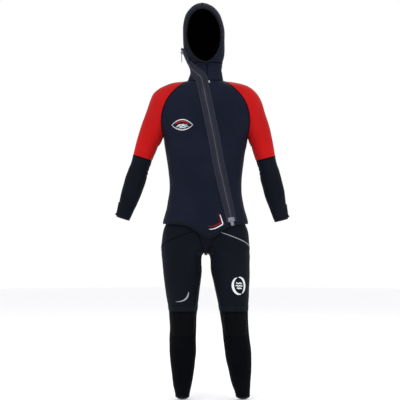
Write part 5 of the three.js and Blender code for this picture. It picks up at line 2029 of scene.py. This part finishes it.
# ---- Trousers ------------------------------------------------------------------------------------
@dataclass
class TrouserSide:
    """One side of the trousers: hip and thigh, knee and shin, band, pad, piping and hem."""

    wearing: Wearing
    side: Side
    band_z: tuple[float, float] = (387.0, 412.0)
    split_z: float = 386.0
    knee_z: float = 260.0
    hem_z: float = 10.0
    columns: int = 112
    pad_turns: tuple[float, float] = (0.35, 1.65)
    pad_z: tuple[float, float] = (278.0, 378.0)
    cell: float = 13.0
    BENDS = (661.0, 559.0, 384.0, 260.0)  # heights where the hip and the knee start and stop bending

    def __post_init__(self) -> None:
        """Finds the bodies, and the places at the hip and the knee that its carriers hold."""
        name = self.side.label
        middle = self.wearing.legs[self.side].middle
        centres = [self.side.value * float(middle(np.array(z))) for z in self.BENDS]
        places = [in_frame(np.array([x, 0.0, z])) for x, z in zip(centres, self.BENDS)]
        self.hip = Carrier("suit", f"thigh_{name}", places[0], places[1])
        self.knee = Carrier(f"thigh_{name}", f"shin_{name}", places[2], places[3])
        self.thigh, self.shin = Carrier(f"thigh_{name}"), Carrier(f"shin_{name}")
        self.skin = self.wearing.leg[self.side]

    def _ring(self, z: float, count: int = 110) -> Course:
        """A course round the leg."""
        turn = np.linspace(0.0, 4.0, count, endpoint=False)
        return Course.on(self.skin, turn, np.full_like(turn, z), closed=True)

    def _line(self, turn: Array | float, top: float, low: float) -> Course:
        """A course down the leg at a turn."""
        z = np.linspace(top, low, max(12, int((top - low) / 6.0)))
        return Course.on(self.skin, np.broadcast_to(turn, z.shape), z)

    def build(self) -> None:
        """Makes every piece of this side."""
        name = self.side.label
        seams = [f"outseam_{name}", f"inseam_{name}", f"knee_seams_{name}"]
        turn = np.linspace(0.0, 4.0, self.columns + 1)[None, :]
        high = lerp(WAIST_Z - 16.0, self.split_z, spread(150))[:, None]
        u, v = np.broadcast_arrays(turn, high)
        Panel(f"trouser_upper_{name}", self.skin, u, v, pinched=(False, False, True, True)).dress(
            BLACK, self.hip, "shell_black", (
                f"hip_panel_{name}", f"groin_{name}", f"thigh_{name}"
            ), [*seams, "waistband"]
        )
        knee = lerp(self.split_z, self.knee_z, spread(50))
        shin = lerp(self.knee_z, self.hem_z, spread(70))[1:]
        u, v = np.broadcast_arrays(turn[:, :-1], np.concatenate([knee, shin])[:, None])
        Panel(f"trouser_lower_{name}", self.skin, u, v, ring=True).dress(
            SHIN, self.knee, "shell_black", (f"knee_{name}", f"shin_{name}"), [*seams, f"ankle_{name}"]
        )
        self._hem()
        self._seams()
        self._knee_parts()
        self._piping()

    def _hem(self) -> None:
        """The turned ankle hem with two rows of stitches."""
        name = self.side.label
        course = self._ring(3.0)
        above = self._ring(20.0)
        down = unit(course.points - above.points)
        ring = hem_ring(course.points + down * 2.2, down, -course.normals, 10.0, WALL, 0.6)
        fitted(f"ankle_{name}", ring, BINDING, self.shin, (f"ankle_hem_{name}",))
        SEAMS.rows(f"ankle_stitches_{name}", course, (1.4, -1.8), self.shin, 1.0)

    def _seams(self) -> None:
        """Outseam, inseam, the front inner seam, and the rings above and below the knee."""
        name = self.side.label
        shin = (self.split_z - 3.0, self.hem_z + 4.0)
        for part, carrier, outs, ins in (
            ("", self.hip, (WAIST_Z - 18.0, self.split_z + 4.0), (CROTCH_Z - 8.0, self.split_z + 4.0)),
            ("_shin", self.knee, shin, shin),
        ):
            SEAMS.sew(f"outseam{part}_{name}", [self._line(2.0, *outs)], carrier)
            SEAMS.sew(f"inseam{part}_{name}", [self._line(0.001, *ins)], carrier)
        z = np.linspace(CROTCH_Z - 10.0, self.band_z[1] + 4.0, 50)
        share = (z[0] - z) / (z[0] - z[-1])
        SEAMS.sew(
            f"inner_thigh_seam_{name}", [Course.on(self.skin, lerp(0.16, 0.42, ease(share)), z)], self.hip
        )
        SEAMS.sew(f"knee_seams_{name}", [self._ring(self.split_z)], self.thigh)
        SEAMS.sew(f"shin_seam_{name}", [self._ring(self.knee_z)], self.shin)

    def _knee_parts(self) -> None:
        """The elastic band above the knee and the moulded pad on it."""
        name = self.side.label
        turn = np.linspace(0.0, 4.0, 120, endpoint=False)[None, :]
        z = np.linspace(*self.band_z, 26)[:, None]
        u, v = np.broadcast_arrays(turn, z)
        points, normals = self.skin.frame(u, v)
        share = np.linspace(0.0, 1.0, 26)[:, None]
        rise = 2.6 + 0.25 * np.cos(share * 2.0 * np.pi * 7.0) - 1.0 * (2.0 * share - 1.0) ** 8
        top = points + normals * rise[..., None]
        band = swept(np.concatenate([top, (points + normals * 0.6)[::-1]]).transpose(1, 0, 2), True)
        fitted(f"knee_strap_{name}", band, BAND, self.thigh, (f"knee_band_{name}",))
        across, along = np.meshgrid(np.linspace(-1.0, 1.0, 90), np.linspace(-1.0, 1.0, 96))
        square = across * np.sqrt(1.0 - along**2 / 3.2), along * np.sqrt(1.0 - across**2 / 4.2)
        turns = lerp(*self.pad_turns, square[0] / 2.0 + 0.5)
        heights = lerp(*self.pad_z, square[1] / 2.0 + 0.5)
        points, normals = self.skin.frame(turns, heights)
        edge = np.clip(np.minimum(1.0 - np.abs(across), 1.0 - np.abs(along)) / 0.1, 0.0, 1.0)
        width = (turns - 1.0) * 90.0
        rise = 1.4 + 2.9 * ease(edge) - self._cells(width, heights) * ease(edge)
        pad = solid(f"knee_guard_{name}", slab(points + normals * rise[..., None], normals, 1.0))
        dressed(pad, PAD, self.knee, (f"knee_pad_{name}",))

    def _cells(self, x: Array, y: Array) -> Array:
        """Depth of the grooves between hexagonal cells: three families of parallel lines."""
        wave = 2.0 * np.pi / self.cell
        total = sum(
            np.cos(wave * (x * math.cos(a) + y * math.sin(a))) for a in (0.0, np.pi / 3.0, 2.0 * np.pi / 3.0)
        )
        return 1.3 * np.clip((0.35 - total) / 1.2, 0.0, 1.0)

    def _piping(self) -> None:
        """The curved hip piping."""
        name = self.side.label
        t = np.linspace(0.0, 1.0, 60)
        course = Course.on(self.skin, lerp(0.86, 1.98, t), lerp(738.0, 664.0, t))
        widths = 0.5 + 1.1 * np.sin(np.pi * np.clip(t, 0.04, 0.96)) ** 0.4
        finish, slot = (GREY_PRINT, "trim_grey") if self.side is Side.LEFT else (SEAM, "shell_black")
        strip = ribbon(course, widths, 1.7, 1.7)
        fitted(f"hip_line_{name}", strip, finish, self.hip, (f"hip_piping_{name}",))


@dataclass
class TrouserTop:
    """The waistband, and the seams up the middle of the trousers."""

    wearing: Wearing

    def build(self) -> None:
        """Makes every piece."""
        right, left = self.wearing.leg[Side.RIGHT], self.wearing.leg[Side.LEFT]
        turn = np.linspace(0.0, 4.0, 70)
        z = np.full_like(turn, WAIST_Z - 5.5)
        (first, n1), (second, n2) = left.frame(turn, z), right.frame(turn[::-1][1:-1], z[1:-1])
        base, outs = np.concatenate([first, second]), np.concatenate([n1, n2])
        up = np.broadcast_to(np.array([0.0, 0.0, 1.0]), base.shape)
        outs = unit(outs * np.array([1.0, 1.0, 0.0]))
        ring = hem_ring(base + up * 5.5, up, -outs, 16.0, WALL, 0.5)
        fitted("waistband_hem", ring, BINDING, SUIT, ("waistband",))
        SEAMS.rows("waistband_stitches", Course(base, outs, up, -up, True), (2.0, -6.0), SUIT, 0.8)
        courses = []
        for place in (0.02, 3.98):
            height = np.linspace(CROTCH_Z + 6.0, WAIST_Z - 18.0, 60)
            near = [skin.frame(np.full_like(height, place), height) for skin in (left, right)]
            points = (near[0][0] + near[1][0]) / 2.0
            courses.append(between(points, *near))
        SEAMS.sew("centre_seams", courses, SUIT)


@dataclass
class BeaverTail:
    """The strap between the legs, from the front hem to the back hem, and its closing pad."""

    wearing: Wearing
    half_top: float = 26.0
    half_crotch: float = 7.0
    thick: float = 4.0
    lift: float = 2.0
    shift: float = 2.0
    rise: float = 80.0
    tuck: float = 10.6  # how far its underside lies inside the jacket's outer face
    overlap: float = 24.0  # how far each end reaches up behind the hem
    BOTTOM = ((-22.0, 636.5), (0.0, 635.0), (22.0, 636.5))  # depths and heights under the crotch

    def _path(self) -> Array:
        """Depth, height and half width along the strap."""
        body, leg = self.wearing.body, self.wearing.legs[Side.LEFT]
        top = float(body.hem_height(np.array(0.08))) - 8.5
        behind = JACKET_HEM_Z - 8.5
        inside = float(body.trunk(np.array(top))[1]) - self.tuck
        path = [(-inside, top + self.overlap, self.half_top), (-inside, top + 5.0, self.half_top)]
        for sign, heights in ((-1.0, (690, 674, 662, 652, 645)), (1.0, (645, 652, 664, 684, 710, 735))):
            for z in map(float, heights):
                half = float(lerp(self.half_crotch, self.half_top, ease((z - CROTCH_Z) / (top - CROTCH_Z))))
                _, middle, front, back = map(float, leg.rows(np.array(z)))
                closing = min(max((CROTCH_Z + self.rise - z) / self.rise, 0.0), 1.0)
                squeeze = closing * (1.0 - (half + 5.0) / middle)
                depth = (front if sign < 0.0 else back) * math.sqrt(1.0 - squeeze**2)
                path.append((sign * (depth + self.lift), z, half))
            if sign < 0.0:
                path += [(y, z, self.half_crotch) for y, z in self.BOTTOM]
        inside = float(body.trunk(np.array(behind))[2]) - self.tuck
        path += [(inside, behind + 5.0, self.half_top), (inside, behind + self.overlap, self.half_top)]
        return np.array(path)

    def build(self) -> None:
        """Makes the strap, its stitches and the pad."""
        path = self._path()
        lengths = travelled(path[:, :2])
        wanted = np.linspace(0.0, lengths[-1], 150)
        y, z, half = at_lengths(path, lengths, wanted).T
        step = np.gradient(np.stack([y, z], axis=-1), axis=0)
        out = unit(vec(np.zeros_like(y), step[:, 1], -step[:, 0]))
        out *= np.where(dot(out, vec(np.zeros_like(y), y, z - 720.0)) < 0.0, -1.0, 1.0)
        middle = vec(np.full_like(y, self.shift), y, z)
        side = np.broadcast_to(np.array([1.0, 0.0, 0.0]), middle.shape)
        share = np.array([-1.0, -0.97, -0.9, -0.5, 0.0, 0.5, 0.9, 0.97, 1.0])
        rise = np.array([-1.4, -0.4, 0.0, 0.3, 0.35, 0.3, 0.0, -0.4, -1.4])
        top = middle[:, None] + side[:, None] * (share[None, :] * half[:, None])[..., None]
        top += out[:, None] * (self.thick + rise[None, :, None])
        shape = slab(top, np.broadcast_to(out[:, None], top.shape), self.thick - 0.4)
        # The strap is navy neoprene like the jacket; the black jersey here paints the shade that falls
        # between the legs under the hem.
        strap = fitted("tail_strap_painted_shade", shape, BLACK, SUIT, ("beaver_tail",))
        threads = []
        for sign in (-1.0, 1.0):
            line = middle + side * (sign * (half - 3.2))[:, None]
            course = Course(line, out, side, -side)
            threads.append(course.row(0.01, 2.6, 0.9, self.thick + 0.45, 0.32))
        fitted("tail_stitches", joined(threads), THREAD, SUIT)
        self._pad()

    def _pad(self) -> None:
        """The closing pad above the front end of the strap."""
        skin = self.wearing.front
        share, rise = np.meshgrid(np.linspace(-1.0, 1.0, 40), np.linspace(0.0, 1.0, 26))
        points, normals = skin.frame(0.08 + share * 0.13, np.zeros_like(share))
        points = points + vec(0.0, 0.0, 3.0 + 18.0 * rise)
        edge = np.minimum(1.0 - np.abs(share), 1.0 - np.abs(2.0 * rise - 1.0))
        top = points + normals * (1.8 + 1.1 * ease(edge / 0.16) + 0.16 * np.cos(rise * 40.0))[..., None]
        pad = solid("closing_pad", slab(top, normals, 1.9))
        dressed(pad, BINDING, SUIT, ("tail_pad",))


# ---- Marks ---------------------------------------------------------------------------------------
@dataclass
class Marks:
    """Plain printed shapes on the chest, thigh, knee, hem and neck."""

    wearing: Wearing
    lift: float = 1.6
    film: float = 1.2
    chest: tuple[float, float] = (-101.0, 1198.0)
    thigh: tuple[float, float] = (1.28, 500.0)
    ring: tuple[float, float] = (0.23, 37.0)
    ring_width: float = 5.2
    bar_width: float = 2.2
    wave: float = 2.0

    def _arc(self, skin: Skin, start: float, end: float) -> Shape:
        """A tapered strip along part of the thigh's ring, between two angles in degrees."""
        angle = np.radians(np.linspace(start, end, 72))
        u = self.thigh[0] + self.ring[0] * np.cos(angle)
        v = self.thigh[1] + self.ring[1] * np.sin(angle)
        taper = np.sin(np.pi * np.linspace(0.02, 0.98, len(angle))) ** 0.6
        return ribbon(Course.on(skin, u, v), self.ring_width * taper, self.lift, self.film)

    def _bar(self, skin: Skin, first: float, last: float, height: float) -> Shape:
        """A waved strip inside the thigh's ring, between two turns at a height."""
        share = np.linspace(0.0, 1.0, 40)
        course = Course.on(skin, lerp(first, last, share), height + self.wave * np.sin(share * 4.0 * np.pi))
        return ribbon(course, self.bar_width, self.lift, self.film)

    def build(self) -> None:
        """Makes every mark."""
        left, right = self.wearing.leg[Side.LEFT], self.wearing.leg[Side.RIGHT]
        self._chest()
        parts = [self._arc(left, *ends) for ends in ((105.0, 285.0), (-65.0, 92.0))]
        for bar in ((1.17, 1.39, 511.0), (1.15, 1.41, 500.0), (1.19, 1.37, 489.0)):
            parts.append(self._bar(left, *bar))
        fitted(
            "thigh_ring", joined(parts), WHITE_PRINT, Carrier("thigh_left"), ("thigh_mark",)
        )
        t = np.linspace(0.0, 1.0, 60)
        tick = Course.on(right, lerp(0.78, 1.3, t**2), lerp(474.0, 430.0, t * (2.0 - t)))
        tapered = 0.5 + 3.0 * np.sin(np.pi * t**0.7)
        mark = solid("knee_swoosh", ribbon(tick, tapered, self.lift, self.film))
        dressed(mark, GREY_PRINT, Carrier("thigh_right"), ("knee_mark",))
        self._hem_and_neck()

    def _chest(self) -> None:
        """A pointed oval of two bows, with a red bow and three short waves inside it."""
        share = np.linspace(-1.0, 1.0, 60)

        def bow(reach: float, height: float, drop: float, width: float, wave: float = 0.0) -> Shape:
            """A strip over the chest, bowed by a height and lowered by a drop."""
            x = self.chest[0] + reach * share
            z = self.chest[1] - drop + height * (1.0 - share**2) + wave * np.sin(share * 3.0 * np.pi)
            course = Course.on(self.wearing.front, *self.wearing.body.at(x, z))
            return ribbon(course, width * (1.15 - share**2) ** 0.5, self.lift, self.film)

        white = [bow(46.0, 24.0, 0.0, 1.5), bow(46.0, -21.0, 0.0, 1.5)]
        white += [
            bow(22.0, 3.0, 1.0, 1.5, 1.6), bow(27.0, 3.0, 7.0, 1.6, 1.6), bow(17.0, 2.0, 13.0, 1.4, 1.2)
        ]
        fitted("chest_lens", joined(white), WHITE_PRINT, SUIT, ("chest_mark",))
        fitted("chest_arc", bow(30.0, 12.0, -5.0, 2.6), RED_PRINT, SUIT)

    def _hem_and_neck(self) -> None:
        """The chevron at the hem and the small tab at the neck."""
        body, front = self.wearing.body, self.wearing.front
        t = np.linspace(0.0, 1.0, 80)
        s = np.interp(t, (0.0, 0.45, 0.55, 1.0), (0.35, 0.395, 0.39, 0.08))
        level = np.interp(t, (0.0, 0.45, 0.55, 1.0), (0.17, 0.064, 0.052, 0.075))
        edge = ribbon(Course.on(front, s, level), 0.6 + 1.7 * np.sin(np.pi * t) ** 0.5, self.lift, self.film)
        fitted("chevron_edge", edge, WHITE_PRINT, SUIT, ("hem_chevron",))
        inner = Course.on(front, s - 0.034, level + 0.03)
        fill = ribbon(inner, 0.5 + 4.0 * np.sin(np.pi * t) ** 0.8, self.lift, self.film)
        fitted("chevron_fill", fill, DARK_RED_PRINT, SUIT)
        level = np.linspace(1.83, 1.93, 20)
        s = body.zip_place(level) + 30.4 / body.edge(level)[0]
        tab = ribbon(Course.on(front, s, level), 3.2, 2.3, 1.5)
        fitted("neck_label", tab, GREY_PRINT, SUIT, ("neck_tab",))


# ---- Studio --------------------------------------------------------------------------------------
@dataclass
class Studio:
    """A plain pale floor, soft light and the camera."""

    floor_radius: float = 9.0
    distance: float = 7.0
    centre: tuple[float, float] = (-0.0242, -0.5226)  # x and z that the camera looks at
    frame_width: float = 1.76
    world: float = 1.0
    sensor: float = 36.0
    LIGHTS = (  # name, place, size and power
        ("key_light", (-1.6, -3.6, 2.4), 2.2, 46.0),
        ("fill_light", (3.0, -3.0, 0.6), 2.6, 20.0),
        ("rim_light", (0.6, 3.2, 2.2), 2.0, 44.0),
    )

    def _light(self, name: str, place: tuple[float, float, float], size: float, power: float) -> None:
        """A square soft light that faces the suit."""
        data = bpy.data.lights.new(name, "AREA")
        data.size, data.energy = size, power
        lamp = bpy.data.objects.new(name, data)
        lamp.location = place
        aim = np.array([0.0, 0.0, -0.5]) - np.array(place)
        length = float(np.linalg.norm(aim))
        lamp.rotation_euler = (math.acos(-aim[2] / length), 0.0, math.atan2(-aim[0], aim[1]))
        bpy.context.scene.collection.objects.link(lamp)

    def build(self) -> None:
        """Makes the floor, lights, world and camera."""
        angle = np.linspace(0.0, 2.0 * np.pi, 96, endpoint=False)
        radius = np.array([0.001, 0.5, 1.0])[:, None] * self.floor_radius / MM
        points = vec(radius * np.cos(angle), radius * np.sin(angle), np.full((3, 96), -6.0))
        floor = mesh_piece("studio_floor", points, [lattice(3, 96, True, False)])
        finish = Finish("pale_floor", linear(246, 246, 248), linear(250, 250, 252), 0.7, 0.2)
        floor.data.materials.append(finish.material())
        for light in self.LIGHTS:
            self._light(*light)
        world = bpy.data.worlds.new("studio_world")
        world.use_nodes = True
        background = world.node_tree.nodes["Background"]
        background.inputs["Color"].default_value = (1.0, 1.0, 1.0, 1.0)
        background.inputs["Strength"].default_value = self.world
        bpy.context.scene.world = world
        bpy.context.scene.view_settings.view_transform = "Standard"
        data = bpy.data.cameras.new("camera")
        data.sensor_width = self.sensor
        data.lens = self.sensor * self.distance / self.frame_width
        camera = bpy.data.objects.new("camera", data)
        camera.location = (self.centre[0], -self.distance, self.centre[1])
        camera.rotation_euler = (math.pi / 2.0, 0.0, 0.0)
        bpy.context.scene.collection.objects.link(camera)
        bpy.context.scene.camera = camera


ELBOWS = {  # middle of each elbow in the frame, and the lean of its forearm
    Side.RIGHT: ((-0.2926, 0.0, -0.3855), math.radians(18.0)),
    Side.LEFT: ((0.2779, 0.0, -0.3895), math.radians(14.2)),
}


def main() -> None:
    """Builds the suit and the studio."""
    logging.basicConfig(level=logging.INFO, format="%(name)s: %(message)s")
    wearing = Wearing()
    parts = [JacketBody(wearing)]
    parts += [Sleeve(wearing, side, *ELBOWS[side]) for side in Side]
    parts += [Hood(wearing), MainZip(wearing)]
    parts += [WristZip(wearing, side) for side in Side]
    parts += [TrouserSide(wearing, side) for side in Side]
    parts += [TrouserTop(wearing), BeaverTail(wearing), Marks(wearing), Studio()]
    for part in parts:
        log.info("building %s", type(part).__name__)
        part.build()


if __name__ == "__main__":
    main()
